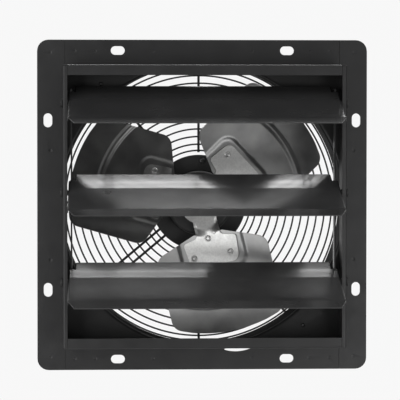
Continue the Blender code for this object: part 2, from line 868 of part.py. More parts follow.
def rivet_places():
    """The three rivets of one arm, each turned to stand square on the blade."""
    spots = [(rivet_inner_radius, 0)]
    for side in (-1, 1):
        angle = side * rivet_outer_angle
        spots.append((rivet_outer_radius * math.cos(angle), rivet_outer_radius * math.sin(angle)))
    places = []
    for along, across in spots:
        step = rivet_shank_radius
        slope_along = (blade_rise(along + step, across) - blade_rise(along - step, across)) / (2 * step)
        slope_across = (blade_rise(along, across + step) - blade_rise(along, across - step)) / (2 * step)
        normal = Vector((-slope_along, -slope_across, 1)).normalized()
        turn = normal.to_track_quat("Z", "Y").to_matrix().to_4x4()
        places.append(Matrix.Translation((along, across, blade_rise(along, across))) @ turn)
    return places


def rivet_mesh():
    """A rivet clinched in the spider: its rear head holds the blade."""
    front = blade_stack + spider_sheet / 4
    head_top = blade_stack + spider_sheet / 2 + rivet_head_height
    back = -blade_sheet / 2 - seat_gap
    crown = rivet_head_radius / 2
    profile = [
        (0, head_top),
        (crown, head_top),
        (rivet_head_radius, head_top - rivet_head_height / 2),
        (rivet_head_radius, front),
        (rivet_shank_radius, front),
        (rivet_shank_radius, back),
        (rivet_head_radius, back),
        (crown, back - rivet_head_height),
        (0, back - rivet_head_height),
    ]
    return turned_mesh(profile, rivet_segments)


def rivet_holes_mesh():
    hole = bar_mesh(rivet_shank_radius + seat_gap, 2 * blade_stack + cut_overrun, -blade_stack - cut_overrun)
    return copies_mesh(hole, rivet_places())


def fan_blades(hub_axis):
    along = Vector((1, 0, 0))
    across = Vector((0, 1, 0))
    cuts = [
        (across, evenly(-leading_reach, trailing_reach, blade_strips)),
        (along, evenly(blade_root_radius, fan_radius, blade_bands)),
    ]
    for index in range(blade_count):
        turn = (0, 0, arm_angle(index))
        arm = add_empty(f"arm_{index + 1}", hub_axis, (0, 0, 0), turn)
        sheet = pressed_sheet([blade_outline()], cuts, blade_rise)
        blade = add_part(f"fan_blade_{index + 1}", sheet, blade_metal, arm)
        solidify(blade, blade_sheet)
        holes = add_cutter(f"fan_blade_{index + 1}_rivet_holes", rivet_holes_mesh(), arm)
        add_boolean(blade, holes, "DIFFERENCE")


def spider_outline():
    neck_start = math.sqrt(spider_disc_radius**2 - neck_half**2)
    side = [
        (neck_start, neck_half, 0),
        (neck_end, neck_half, neck_corner_radius),
        (pad_start, pad_inner_half, neck_corner_radius),
        (pad_end, pad_outer_half, pad_corner_radius),
    ]
    arm = [(along, -across, radius) for along, across, radius in side] + side[::-1]
    corners = []
    for index in range(blade_count):
        for along, across, radius in arm:
            corners.append((*rotated(along, across, arm_angle(index)), radius))
    return rounded_outline(corners)


def rotated(along, across, angle):
    x = along * math.cos(angle) - across * math.sin(angle)
    y = along * math.sin(angle) + across * math.cos(angle)
    return x, y


def fan_spider(hub_axis):
    """The pressed plate that carries the blades on its three arms."""
    bend_end = spider_bend_start + spider_bend_length
    cuts = []
    for index in range(blade_count):
        along = Vector((*rotated(1, 0, arm_angle(index)), 0))
        across = Vector((*rotated(0, 1, arm_angle(index)), 0))
        cuts.append((along, [spider_bend_start, bend_end] + evenly(bend_end, pad_end, spider_bands)))
        cuts.append((across, [0]))
    hub_hole = circle_points((0, 0), hub_boss_radius + seat_gap, motor_segments)
    mesh = pressed_sheet([spider_outline(), hub_hole], cuts, spider_rise)
    spider = add_part("fan_spider", mesh, spider_metal, hub_axis)
    solidify(spider, spider_sheet)
    turns = [Matrix.Rotation(arm_angle(index), 4, "Z") for index in range(blade_count)]
    places = [turn @ place for turn in turns for place in rivet_places()]
    rivets = add_cutter("fan_spider_rivets", copies_mesh(rivet_mesh(), places), hub_axis)
    add_boolean(spider, rivets, "UNION")


def fan_hub(hub_axis):
    """The turned hub that holds the spider on the shaft, with its set screw."""
    spider_middle = blade_stack / math.cos(blade_root_pitch) - blade_camber
    flange_front = spider_middle - spider_sheet / 2 - seat_gap
    front = spider_middle + hub_front_reach
    back = flange_front - hub_flange_thickness - hub_sleeve_length
    bore = shaft_radius + seat_gap
    profile = [
        (bore, front),
        (hub_boss_radius, front),
        (hub_boss_radius, flange_front),
        (hub_flange_radius, flange_front),
        (hub_flange_radius, flange_front - hub_flange_thickness),
        (hub_boss_radius, flange_front - hub_flange_thickness),
        (hub_boss_radius, back),
        (bore, back),
    ]
    hub = add_part("fan_hub", turned_mesh(profile, motor_segments), hub_metal, hub_axis)
    screw_depth = flange_front - hub_flange_thickness - hub_sleeve_length / 2
    place = Matrix.Translation((0, 0, screw_depth)) @ along_x(1)
    hole = bar_mesh(hub_screw_radius + seat_gap, hub_boss_radius + cut_overrun, shaft_radius)
    add_boolean(hub, add_cutter("fan_hub_screw_hole", copies_mesh(hole, [place]), hub_axis), "DIFFERENCE")
    screw = bar_mesh(hub_screw_radius, hub_boss_radius + seat_gap, shaft_radius + seat_gap)
    add_part("hub_set_screw", copies_mesh(screw, [place]), pin_steel, hub_axis)
    shaft_back = fan_back - rear_bell_rear_back + bell_wall
    add_part("motor_shaft", bar_mesh(shaft_radius, front, shaft_back, small_segments), shaft_steel, hub_axis)
    core_front = fan_back - stack_front_back
    core_back = fan_back - stack_rear_back
    core_radius = stator_bore_radius - air_gap
    core = ring_mesh(core_radius, shaft_radius + seat_gap, core_front, core_back, motor_segments)
    add_part("rotor_core", core, lamination_steel, hub_axis)


def guard_ring_places():
    """Ring wires (radius, z), evenly spaced along the guard's section from its face to its side."""
    places = [(guard_inner_ring, -guard_face_back)]
    face_run = guard_side_radius - guard_corner_radius - guard_first_ring
    corner_run = guard_corner_radius * math.pi / 2
    side_run = guard_face_back - guard_corner_radius - guard_side_end_back
    run = 0
    while run <= face_run + corner_run + side_run:
        if run <= face_run:
            places.append((guard_first_ring + run, -guard_face_back))
        elif run <= face_run + corner_run:
            angle = (run - face_run) / guard_corner_radius
            radius = guard_side_radius - guard_corner_radius * (1 - math.sin(angle))
            places.append((radius, -guard_face_back + guard_corner_radius * (1 - math.cos(angle))))
        else:
            side = run - face_run - corner_run
            places.append((guard_side_radius, -guard_face_back + guard_corner_radius + side))
        run += guard_pitch
    return places


def rib_section(offset, inner_end, panel_end):
    """The line (radius, z) that a wire follows outside the rings, from the guard's face to the panel."""
    side_radius = guard_side_radius + offset
    corner_radius = guard_corner_radius + offset
    face = -guard_face_back - offset
    centre = (side_radius - corner_radius, face + corner_radius)
    corner = arc_points(centre, corner_radius, -math.pi / 2, 0, wire_bend_steps)
    return [(inner_end, face)] + corner + [(side_radius, panel_end)]


def wire_guard():
    """The guard basket: ring wires with single rib wires welded across their outside."""
    rings = []
    for radius, z in guard_ring_places():
        rings.append([(x, y, z) for x, y in circle_points((0, 0), radius, ring_segments)])
    guard = add_part("wire_guard", bake(wire_curve(rings, ring_wire_radius, True)), guard_black, frame)
    weld_offset = ring_wire_radius + rib_wire_radius - weld_depth
    section = rib_section(weld_offset, rib_inner_end, -rib_panel_gap)
    ribs = []
    for index in range(rib_count):
        angle = 2 * math.pi * index / rib_count
        ribs.append([(*rotated(radius, 0, angle), z) for radius, z in section])
    rib_mesh = bake(wire_curve(ribs, rib_wire_radius, False, 1))
    add_boolean(guard, add_cutter("wire_guard_ribs", rib_mesh, frame), "UNION")


def support_angles():
    return [first_support_angle + 2 * math.pi * index / support_count for index in range(support_count)]


def support_screw_radius():
    return rib_side_radius + support_foot_bend + support_foot_length - support_half_spacing


def support_screw_places():
    return [rotated(support_screw_radius(), 0, angle) for angle in support_angles()]


def motor_supports():
    """Hairpin wires from the motor plate out to feet that are screwed to the panel's back."""
    foot_z = -rib_wire_radius - seat_gap
    section = rib_section(meridian_offset, support_inner_end, foot_z - support_foot_bend)
    foot_centre = (rib_side_radius + support_foot_bend, foot_z - support_foot_bend)
    section += arc_points(foot_centre, support_foot_bend, math.pi, math.pi / 2, corner_steps)[1:]
    loop_centre = (support_screw_radius(), 0)
    loop = arc_points(loop_centre, support_half_spacing, math.pi / 2, -math.pi / 2, 2 * corner_steps)
    out = [(radius, support_half_spacing, z) for radius, z in section]
    turn = [(radius, across, foot_z) for radius, across in loop]
    back = [(radius, -across, z) for radius, across, z in reversed(out)]
    for index, angle in enumerate(support_angles()):
        wire = wire_curve([out + turn + back], rib_wire_radius, False, 1)
        add_part(f"motor_support_wire_{index + 1}", wire, guard_black, frame, (0, 0, 0), (0, 0, angle))


def guard_screws():
    """Screws with wide heads that clamp the support feet to the panel."""
    washer_front = -2 * rib_wire_radius - 2 * seat_gap
    head_front = washer_front - guard_washer_thickness
    profile = [
        (0, panel_sheet),
        (guard_screw_radius, panel_sheet),
        (guard_screw_radius, washer_front),
        (guard_washer_radius, washer_front),
        (guard_washer_radius, head_front),
        (guard_screw_head_radius, head_front),
        (guard_screw_head_radius, head_front - guard_screw_head_height),
        (0, head_front - guard_screw_head_height),
    ]
    for index, (x, y) in enumerate(support_screw_places()):
        screw = turned_mesh(profile, small_segments)
        add_part(f"guard_screw_{index + 1}", screw, pin_steel, frame, (x, y, 0))


def motor_screw_places():
    places = []
    for angle in support_angles():
        x, y = rotated(motor_screw_circle, 0, angle - math.pi / support_count)
        places.append(Matrix.Translation((x, y, 0)))
    return places


def motor_plate():
    """The round plate in front of the support wires, through which the motor is screwed."""
    hole = front_bell_radius + plate_hole_clearance
    front = -plate_rear_back + motor_plate_sheet
    disc = ring_mesh(motor_plate_radius, hole, front, -plate_rear_back, motor_segments)
    plate = add_part("motor_plate", disc, motor_black, frame)
    screw_hole = bar_mesh(motor_screw_radius + seat_gap, front + cut_overrun, -plate_rear_back - cut_overrun)
    holes = add_cutter("motor_plate_holes", copies_mesh(screw_hole, motor_screw_places()), frame)
    add_boolean(plate, holes, "DIFFERENCE")
    head_back = front + seat_gap
    screw_end = -shell_front_back - bell_wall
    profile = [
        (0, head_back + motor_screw_head_height),
        (motor_screw_head_radius, head_back + motor_screw_head_height),
        (motor_screw_head_radius, head_back),
        (motor_screw_radius, head_back),
        (motor_screw_radius, screw_end),
        (0, screw_end),
    ]
    for index, place in enumerate(motor_screw_places()):
        screw = turned_mesh(profile, small_segments)
        add_part(f"motor_screw_{index + 1}", screw, pin_steel, frame, place.to_translation())


def front_bell():
    """The motor's front cover, a cup with a boss for the front bearing."""
    face = -front_bell_back
    boss_front = face + bearing_boss_reach
    edge = bell_edge_radius
    rear = -shell_front_back + seat_gap
    outer_corner = arc_points((front_bell_radius - edge, face - edge), edge, math.pi / 2, 0, corner_steps)
    seat = bearing_radius + seat_gap
    shaft_hole = shaft_radius + plate_hole_clearance
    profile = [(shaft_hole, boss_front), (bearing_boss_radius, boss_front), (bearing_boss_radius, face)]
    profile += outer_corner
    profile += [
        (front_bell_radius, rear),
        (front_bell_radius - bell_wall, rear),
        (front_bell_radius - bell_wall, face - bell_wall),
        (bearing_boss_radius, face - bell_wall),
        (bearing_boss_radius, boss_front - bell_wall - seat_gap - bearing_width),
        (seat, boss_front - bell_wall - seat_gap - bearing_width),
        (seat, boss_front - bell_wall),
        (shaft_hole, boss_front - bell_wall),
    ]
    add_part("motor_front_bell", turned_mesh(profile, motor_segments), motor_black, frame)
    bearing("front_bearing", boss_front - bell_wall - seat_gap)


def bearing(name, front):
    ring = ring_mesh(bearing_radius, shaft_radius + seat_gap, front, front - bearing_width, motor_segments)
    add_part(name, ring, bearing_steel, frame)


def motor_shell():
    """The motor's drawn shell, whose front flange sits behind the support wires."""
    front = -shell_front_back
    rear = -shell_rear_back
    mouth = front_bell_radius - bell_wall
    profile = [
        (mouth, front),
        (motor_flange_radius, front),
        (motor_flange_radius, front - bell_wall),
        (motor_shell_radius, front - bell_wall),
        (motor_shell_radius, rear),
        (shell_inner_radius, rear),
        (shell_inner_radius, front - bell_wall),
        (mouth, front - bell_wall),
    ]
    shell = add_part("motor_shell", turned_mesh(profile, motor_segments), motor_black, frame)
    screw_hole = bar_mesh(motor_screw_radius + seat_gap, front + cut_overrun, front - bell_wall - cut_overrun)
    holes = add_cutter("motor_shell_holes", copies_mesh(screw_hole, motor_screw_places()), frame)
    add_boolean(shell, holes, "DIFFERENCE")
    outside = motor_shell_radius + cut_overrun
    inside = shell_inner_radius - cut_overrun
    gland_hole = bar_mesh(gland_barrel_radius + seat_gap, outside, inside)
    cutter = add_cutter("motor_shell_gland_hole", copies_mesh(gland_hole, [gland_place()]), frame)
    add_boolean(shell, cutter, "DIFFERENCE")


def gland_place():
    """Where the lead would leave the shell: straight down, behind the stator."""
    depth = (stack_rear_back + shell_rear_back) / 2
    down = Matrix.Rotation(math.pi / 2, 4, "X")
    return Matrix.Translation((0, 0, -depth)) @ down


def cable_gland():
    flange_back = motor_shell_radius + seat_gap
    profile = [
        (gland_bore_radius, flange_back + gland_length),
        (gland_barrel_radius, flange_back + gland_length),
        (gland_radius, flange_back),
        (gland_barrel_radius, flange_back),
        (gland_barrel_radius, flange_back - gland_seat_depth),
        (gland_bore_radius, flange_back - gland_seat_depth),
    ]
    mesh = copies_mesh(turned_mesh(profile, small_segments), [gland_place()])
    add_part("cable_gland", mesh, gland_rubber, frame)


def rear_bell():
    """The motor's rear cover, a cup with the rear bearing in its middle."""
    front = -rear_bell_front_back
    rear = -rear_bell_rear_back
    floor = rear + bell_wall
    edge = bell_edge_radius
    seat = bearing_radius + seat_gap
    outer_corner = arc_points((motor_shell_radius - edge, rear + edge), edge, 0, -math.pi / 2, corner_steps)
    profile = [
        (0, floor),
        (seat, floor),
        (seat, floor + bearing_width),
        (bearing_boss_radius, floor + bearing_width),
        (bearing_boss_radius, floor),
        (shell_inner_radius, floor),
        (shell_inner_radius, front),
        (motor_shell_radius, front),
    ]
    profile += outer_corner
    profile.append((0, rear))
    add_part("motor_rear_bell", turned_mesh(profile, motor_segments), motor_black, frame)
    bearing("rear_bearing", floor + seat_gap + bearing_width)


def stator():
    front = -stack_front_back
    rear = -stack_rear_back
    core = ring_mesh(shell_inner_radius - seat_gap, stator_bore_radius, front, rear, motor_segments)
    add_part("stator_core", core, lamination_steel, frame)
    ends = (
        ("front_winding", front + seat_gap + winding_length),
        ("rear_winding", rear - seat_gap),
    )
    for name, start in ends:
        end = start - winding_length
        winding = ring_mesh(winding_outer_radius, winding_inner_radius, start, end, motor_segments)
        add_part(name, winding, winding_copper, frame)


clear_scene()
parts = make_collection("shutter_exhaust_fan")
cutters = make_collection("cutters")

black_steel = make_material("black_steel", (0.020, 0.020, 0.021), 0.42, 0.0)
panel_black = make_material("panel_black", (0.010, 0.010, 0.010), 0.55, 0.0)
louvre_black = make_material("louvre_black", (0.026, 0.026, 0.027), 0.36, 0.0)
guard_black = make_material("guard_black", (0.012, 0.012, 0.012), 0.45, 0.0)
motor_black = make_material("motor_black", (0.014, 0.014, 0.014), 0.50, 0.0)
blade_metal = make_material("blade_metal", (0.20, 0.20, 0.20), 0.40, 0.9)
spider_metal = make_material("spider_metal", (0.42, 0.42, 0.41), 0.38, 0.9)
hub_metal = make_material("hub_metal", (0.36, 0.36, 0.36), 0.35, 1.0)
shaft_steel = make_material("shaft_steel", (0.50, 0.50, 0.50), 0.25, 1.0)
pin_steel = make_material("pin_steel", (0.10, 0.10, 0.10), 0.40, 0.8)
lamination_steel = make_material("lamination_steel", (0.28, 0.28, 0.29), 0.50, 1.0)
winding_copper = make_material("winding_copper", (0.45, 0.16, 0.06), 0.40, 0.9)
bearing_steel = make_material("bearing_steel", (0.55, 0.55, 0.56), 0.25, 1.0)
bush_plastic = make_material("bush_plastic", (0.018, 0.018, 0.018), 0.50, 0.0)
gland_rubber = make_material("gland_rubber", (0.015, 0.015, 0.015), 0.75, 0.0)

frame = add_empty("frame_axes", rotation=(math.pi / 2, 0, 0))

side_rail("left_side_rail", -1)
side_rail("right_side_rail", 1)
end_rail("top_rail", 1, relief=False)
end_rail("bottom_rail", -1, relief=True)
fan_panel()
pivot_bushes()

for louvre_index in range(louvre_count):
    louvre_pivot = add_empty(
        f"louvre_{louvre_index + 1}_pivot", frame, (0, pivot_heights[louvre_index], pivot_forward)
    )
    louvre(louvre_index, louvre_pivot)

tie_pivot = add_empty(
    "tie_rod_pivot", frame, (0, middle_pivot_height + tie_pin_rise, pivot_forward - tie_pin_back)
)
tie_rod("tie_rod_left", -1, tie_pivot)
tie_rod("tie_rod_right", 1, tie_pivot)

fan_axis = add_empty("fan_axis", frame, (0, 0, -fan_back))
fan_blades(fan_axis)
fan_spider(fan_axis)
fan_hub(fan_axis)

wire_guard()
motor_supports()
guard_screws()
motor_plate()
front_bell()
motor_shell()
cable_gland()
stator()
rear_bell()
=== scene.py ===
import json
from math import acos, atan2, cos, hypot, pi, sin, sqrt, tan

import bmesh
import bpy
from mathutils import Euler, Matrix, Vector


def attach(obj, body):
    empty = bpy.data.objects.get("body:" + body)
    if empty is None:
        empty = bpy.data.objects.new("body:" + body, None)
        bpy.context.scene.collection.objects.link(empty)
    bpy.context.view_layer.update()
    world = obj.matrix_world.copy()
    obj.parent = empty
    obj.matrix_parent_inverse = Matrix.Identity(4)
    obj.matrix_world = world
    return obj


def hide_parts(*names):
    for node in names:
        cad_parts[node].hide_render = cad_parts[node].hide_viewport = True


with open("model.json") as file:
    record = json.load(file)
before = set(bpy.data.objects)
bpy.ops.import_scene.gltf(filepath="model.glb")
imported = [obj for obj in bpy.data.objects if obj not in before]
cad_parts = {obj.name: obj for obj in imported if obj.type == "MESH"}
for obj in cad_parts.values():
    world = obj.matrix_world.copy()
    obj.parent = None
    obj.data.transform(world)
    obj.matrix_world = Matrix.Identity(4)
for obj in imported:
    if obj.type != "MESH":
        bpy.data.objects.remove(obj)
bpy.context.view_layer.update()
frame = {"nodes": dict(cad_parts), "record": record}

# Pieces are modelled in the frame's axes, x right, y up and z forward out of the wall, and then turned.
mm = 0.001
degree = pi / 180
to_world = Matrix.Rotation(pi / 2, 4, "X")
smooth_angle = 32 * degree
merge_distance = 0.01 * mm
edge_round = 0.2 * mm
edge_angle = 35 * degree

# Frame
flange_half = 190.0 * mm
flange_corner_radius = 13.0 * mm
panel_sheet = 1.2 * mm
rail_sheet = 1.0 * mm
rail_middle = 2.0 * mm
rail_bend_radius = 1.5 * mm
box_half = 159.3 * mm
box_depth = 54.5 * mm
side_lip_width = 5.1 * mm
end_lip_width = 12.1 * mm
seat_gap = 0.3 * mm
slot_length = 16.0 * mm
slot_width = 10.0 * mm
slot_along_edge = 97.5 * mm
slot_from_edge = 12.3 * mm
weld_radius = 2.5 * mm
weld_depth = 0.5 * mm
weld_step_shares = ((0.72, 0.75), (0.4, 1.0))
side_weld_line = 174.8 * mm
side_weld_height = 62.8 * mm
corner_weld_height = 175.0 * mm
end_weld_line = 176.8 * mm
end_weld_places = (57.0 * mm, 123.5 * mm, 147.0 * mm)
throat_radius = 163.5 * mm
collar_bend_radius = 3.2 * mm
relief_radius = 45.0 * mm
relief_centre_x = 38.5 * mm
relief_depth = 10.1 * mm
relief_half_angle = 36 * degree
relief_margin = 1.0 * mm
relief_strip = 0.4 * mm

# Louvres
louvre_count = 3
louvre_pitch = 100.75 * mm
middle_pivot_height = 15.9 * mm
pivot_forward = 46.0 * mm
louvre_half_width = 152.9 * mm
louvre_sheet = 1.0 * mm
louvre_bend_radius = 1.6 * mm
fold_angle = 2 * degree
rear_edge_back = 31.0 * mm
rear_edge_rise = 19.8 * mm
ridge_back = 1.0 * mm
ridge_rise = 4.3 * mm
lip_fold_forward = 46.6 * mm
lip_fold_drop = 17.0 * mm
lip_end_forward = 64.5 * mm
lip_end_drop = 23.1 * mm
lip_chamfer = 7.3 * mm
notch_width = 6.9 * mm
notch_length = 14.0 * mm
end_tab_front = 8.0 * mm
end_tab_back = 10.0 * mm
end_tab_drop = 6.5 * mm
end_flange_depth = 4.6 * mm
end_flange_front = 44.5 * mm
end_flange_step = 2.0 * mm
tie_tab_drop = 4.5 * mm

# Pivots and tie rods
pivot_pin_radius = 2.0 * mm
pivot_collar_radius = 3.4 * mm
bush_barrel_radius = 3.9 * mm
bush_flange_radius = 5.2 * mm
bush_flange_thickness = 2.0 * mm
bush_inner_reach = 0.8 * mm
pin_end_reach = 0.6 * mm
tie_rod_depth = 10.0 * mm
tie_rod_thickness = 1.8 * mm
tie_rod_end = 7.0 * mm
tie_rod_side_gap = 3.4 * mm
tie_rod_corner_radius = 2.5 * mm
tie_pin_back = 27.0 * mm
tie_pin_rise = 10.3 * mm
tie_pin_radius = 1.8 * mm
tie_head_radius = 3.2 * mm
tie_head_thickness = 1.0 * mm
tie_crown_share = 0.6

# Fan
blade_count = 3
first_arm_angle = 44.2 * degree
fan_back = 35.5 * mm
fan_radius = 155.0 * mm
blade_sheet = 1.2 * mm
blade_root_pitch = 25 * degree
blade_tip_pitch = 20 * degree
blade_camber = 5.0 * mm
blade_root_radius = 35.5 * mm
blade_root_half = 17.0 * mm
blade_shoulder_radius = 54.0 * mm
leading_reach = 66.6 * mm
trailing_reach = 63.5 * mm
blade_corner_radius = 14.0 * mm
rib_radius = 122.0 * mm
rib_half_width = 4.8 * mm
rib_height = 2.4 * mm
rib_fade_start = 10 * degree
rib_fade_end = 22 * degree
plateau_height = 1.9 * mm
plateau_end = 77.0 * mm
plateau_half = 34.0 * mm
plateau_corner = 10.0 * mm
plateau_slope = 6.0 * mm
spider_sheet = 1.2 * mm
spider_top = 3.8 * mm
spider_disc_radius = 24.0 * mm
spider_hole_margin = 1.0 * mm
spider_bend_start = 28.5 * mm
spider_bend_length = 11.0 * mm
neck_half = 14.0 * mm
neck_end = 40.0 * mm
neck_roll = 3.2 * mm
neck_roll_drop = 1.5 * mm
neck_fade_start = 30.0 * mm
neck_fade_length = 5.0 * mm
pad_start = 43.5 * mm
pad_end = 74.0 * mm
pad_inner_half = 31.0 * mm
pad_outer_half = 28.0 * mm
pad_corner_radius = 9.0 * mm
neck_corner_radius = 4.0 * mm
rivet_inner_radius = 42.0 * mm
rivet_outer_radius = 65.7 * mm
rivet_outer_angle = 18.9 * degree
rivet_shank_radius = 2.2 * mm
rivet_head_radius = 3.9 * mm
rivet_head_height = 1.4 * mm
rivet_sink = 0.1 * mm
rivet_dimple_radius = 2.1 * mm
rivet_dimple_depth = 1.7 * mm
dimple_floor_share = 0.6
peg_along = 37.0 * mm
peg_across = 8.6 * mm
peg_radius = 1.5 * mm
peg_height = 1.0 * mm

# Hub and shaft
shaft_radius = 5.0 * mm
hub_boss_radius = 12.0 * mm
hub_flange_radius = 20.0 * mm
hub_flange_thickness = 3.0 * mm
hub_front_reach = 7.0 * mm
hub_sleeve_length = 7.0 * mm
hub_screw_radius = 2.0 * mm
hub_chamfer = 0.8 * mm
cad_spider_middle = -2.19 * mm
cad_spider_half = 1.25 * mm

# Wire guard
guard_face_back = 77.0 * mm
guard_side_radius = 166.0 * mm
guard_corner_radius = 20.0 * mm
guard_first_ring = 69.75 * mm
guard_inner_ring = 62.3 * mm
guard_pitch = 9.15 * mm
guard_side_end_back = 9.0 * mm
ring_wire_radius = 1.0 * mm
rib_wire_radius = 1.5 * mm
rib_weld_depth = 0.9 * mm
rib_inner_end = 60.0 * mm
rib_panel_gap = 0.8 * mm
rib_count = 4
support_count = 4
first_support_angle = 40 * degree
support_half_spacing = 5.0 * mm
support_foot_bend = 5.0 * mm
support_foot_length = 13.0 * mm
support_inner_end = 47.0 * mm

# Screws
guard_screw_radius = 2.0 * mm
guard_washer_radius = 6.4 * mm
guard_washer_thickness = 1.2 * mm
guard_screw_head_radius = 3.8 * mm
guard_screw_head_height = 2.6 * mm
motor_screw_circle = 50.5 * mm
motor_screw_radius = 2.0 * mm
motor_screw_head_radius = 3.6 * mm
motor_screw_head_height = 2.4 * mm
screw_point_share = 0.7
head_crown_share = 0.55
head_rim_share = 0.88
head_side_share = 0.45
head_bevel_share = 0.16
recess_arm = 0.55 * mm
recess_depth = 1.2 * mm

# Motor
motor_plate_radius = 57.0 * mm
motor_plate_sheet = 2.0 * mm
plate_hole_clearance = 0.8 * mm
front_bell_radius = 38.0 * mm
front_bell_back = 54.0 * mm
bell_wall = 2.0 * mm
bell_edge_radius = 4.0 * mm
bearing_boss_radius = 14.0 * mm
bearing_radius = 11.0 * mm
bearing_boss_reach = 4.0 * mm
bearing_width = 8.0 * mm
motor_shell_radius = 46.0 * mm
motor_shell_length = 42.0 * mm
motor_flange_radius = 55.0 * mm
shell_bead_depth = 1.0 * mm
shell_bead_half = 2.5 * mm
shell_bead_place = 9.0 * mm
winding_length = 6.0 * mm
stator_length = 20.0 * mm
rear_bell_length = 16.0 * mm
rear_step_radius = 19.0 * mm
rear_step_depth = 2.4 * mm
rear_step_fillet = 1.2 * mm
vent_inner = 24.0 * mm
vent_outer = 39.0 * mm
vent_half = 1.6 * mm
vent_count = 12
gland_radius = 6.0 * mm
gland_bore_radius = 3.2 * mm
gland_barrel_radius = 4.6 * mm
gland_length = 9.0 * mm
gland_seat_depth = 4.0 * mm
gland_groove = 0.6 * mm
gland_grooves = 4
gland_grip_share = 0.7
gland_rest_share = 0.3
gland_groove_shares = (0, 0.2, 0.5, 0.7)

# How finely round and curved things are divided
fine_segments = 128
round_segments = 64
small_segments = 28
bend_steps = 5
corner_steps = 6
fillet_steps = 4
dome_steps = 4
tip_steps = 48
tip_trim = 8
blade_rows = 120
blade_columns = 104
sector_steps = 14
disc_steps = 12
spider_columns = 44
spider_step = 1.2 * mm

# Finishes: depths of their fine relief, and the part of a noise that colours and gloss spread over
paint_peel_depth = 0.004 * mm
coarse_peel_depth = 0.01 * mm
rolled_line_depth = 0.008 * mm
zinc_flake_depth = 0.02 * mm
turned_ring_depth = 0.01 * mm
wear_depth = 0.02 * mm
lamination_depth = 0.1 * mm
strand_depth = 0.2 * mm
nylon_grain_depth = 0.02 * mm
rubber_grain_depth = 0.04 * mm
noise_span = (0.3, 0.7)

# Studio, in metres
floor_radius = 1.5
floor_height = -0.55
camera_lens = 144.0
camera_sensor = 36.0
camera_shift = (0.10, -0.08)
camera_place = (-0.110, -1.8425, 0.078)
camera_turn = (pi / 2 - 1.10 * degree, 0, -1.90 * degree)
backdrop_colour = (0.935, 0.935, 0.935, 1.0)
room_level = 0.12

# The room's soft lobes: direction, sharpness, strength
room_lobes = (
    ((0.0, 1.0, 0.1), 5.0, 0.80),
    ((0.1, -0.6, 0.8), 3.0, 0.95),
    ((-0.4, -0.6, 0.7), 10.0, 0.40),
)

# Softboxes: name, place, target, width, height, radiance
softboxes = (
    ("softbox_top_rear", (0.0, 0.280, 0.575), (0.0, -0.03, 0.02), 0.92, 0.080, 15.0),
    ("softbox_right", (0.86, -1.27, -0.42), (0.0, 0.0, 0.0), 1.2, 1.0, 2.0),
    ("softbox_left", (-1.10, -1.15, -0.10), (0.0, 0.0, 0.0), 1.35, 0.9, 2.7),
)

# Sizes that follow from the ones above
meridian_offset = ring_wire_radius + seat_gap + rib_wire_radius
rib_face_back = guard_face_back + meridian_offset
rib_side_radius = guard_side_radius + meridian_offset
support_screw_radius = rib_side_radius + support_foot_bend + support_foot_length - support_half_spacing
plate_rear_back = rib_face_back - rib_wire_radius - seat_gap
shell_front_back = rib_face_back + rib_wire_radius + seat_gap
shell_rear_back = shell_front_back + motor_shell_length
rear_bell_front_back = shell_rear_back + seat_gap
rear_bell_rear_back = rear_bell_front_back + rear_bell_length
stack_rear_back = shell_front_back + bell_wall + winding_length + 2 * seat_gap + stator_length
gland_groove_pitch = gland_length * gland_grip_share / gland_grooves
box_inner_half = box_half - rail_sheet
rail_wall = box_half - rail_sheet / 2
rail_bend_line = rail_wall + rail_bend_radius
end_rail_half = box_inner_half - seat_gap
inlet_bend_radius = throat_radius + panel_sheet / 2 + collar_bend_radius
relief_centre = (relief_centre_x, -(box_half + relief_depth) + relief_radius)
tie_tab_x = louvre_half_width - notch_width
tie_rod_x = tie_tab_x + tie_rod_side_gap
hub_place = Matrix.Translation((0, 0, -fan_back))
hands = (("left", -1), ("right", 1))
pivot_heights = [middle_pivot_height + louvre_pitch * (1 - index) for index in range(louvre_count)]
support_angles = [first_support_angle + 2 * pi * index / support_count for index in range(support_count)]
arm_angles = [first_arm_angle + 2 * pi * index / blade_count for index in range(blade_count)]


# Mesh helpers

def bmesh_of(*meshes):
    sheet = bmesh.new()
    for mesh in meshes:
        sheet.from_mesh(mesh)
    return sheet


def mesh_of(sheet):
    """The mesh that a bmesh describes. The bmesh is freed."""
    mesh = bpy.data.meshes.new("mesh")
    sheet.to_mesh(mesh)
    sheet.free()
    return mesh


def joined_mesh(*meshes):
    return mesh_of(bmesh_of(*meshes))


def moved(mesh, place):
    mesh.transform(place)
    return mesh


def copies_mesh(mesh, places):
    """One mesh that holds a copy of another at each place."""
    return joined_mesh(*[moved(mesh.copy(), place) for place in places])


def shift(x, y, z):
    return Matrix.Translation((x, y, z))


def along_x(side):
    """Turns a piece made about z so that its front points to the right or to the left."""
    return Euler((0, side * pi / 2, 0)).to_matrix().to_4x4()


def bake(data, change=None):
    """The mesh that a curve or a modified mesh makes, with its loose points welded."""
    source = bpy.data.objects.new("source", data)
    bpy.context.scene.collection.objects.link(source)
    if change:
        change(source)
    bpy.context.view_layer.update()
    evaluated = source.evaluated_get(bpy.context.evaluated_depsgraph_get())
    sheet = bmesh_of(bpy.data.meshes.new_from_object(evaluated))
    bpy.data.objects.remove(source, do_unlink=True)
    bmesh.ops.remove_doubles(sheet, verts=sheet.verts, dist=merge_distance)
    return mesh_of(sheet)


def modify(obj, kind, **settings):
    modifier = obj.modifiers.new(kind.lower(), kind)
    for name, value in settings.items():
        setattr(modifier, name, value)


def soften(obj, width=edge_round):
    """Rounds the sharp edges a little, so that they catch the light."""
    modify(obj, "BEVEL", width=width, segments=2, limit_method="ANGLE", angle_limit=edge_angle)


def thicken(obj, thickness):
    modify(obj, "SOLIDIFY", thickness=thickness, offset=0, use_even_offset=True)
    soften(obj)


def thick_sheet(mesh, thickness):
    return bake(mesh, lambda obj: thicken(obj, thickness))


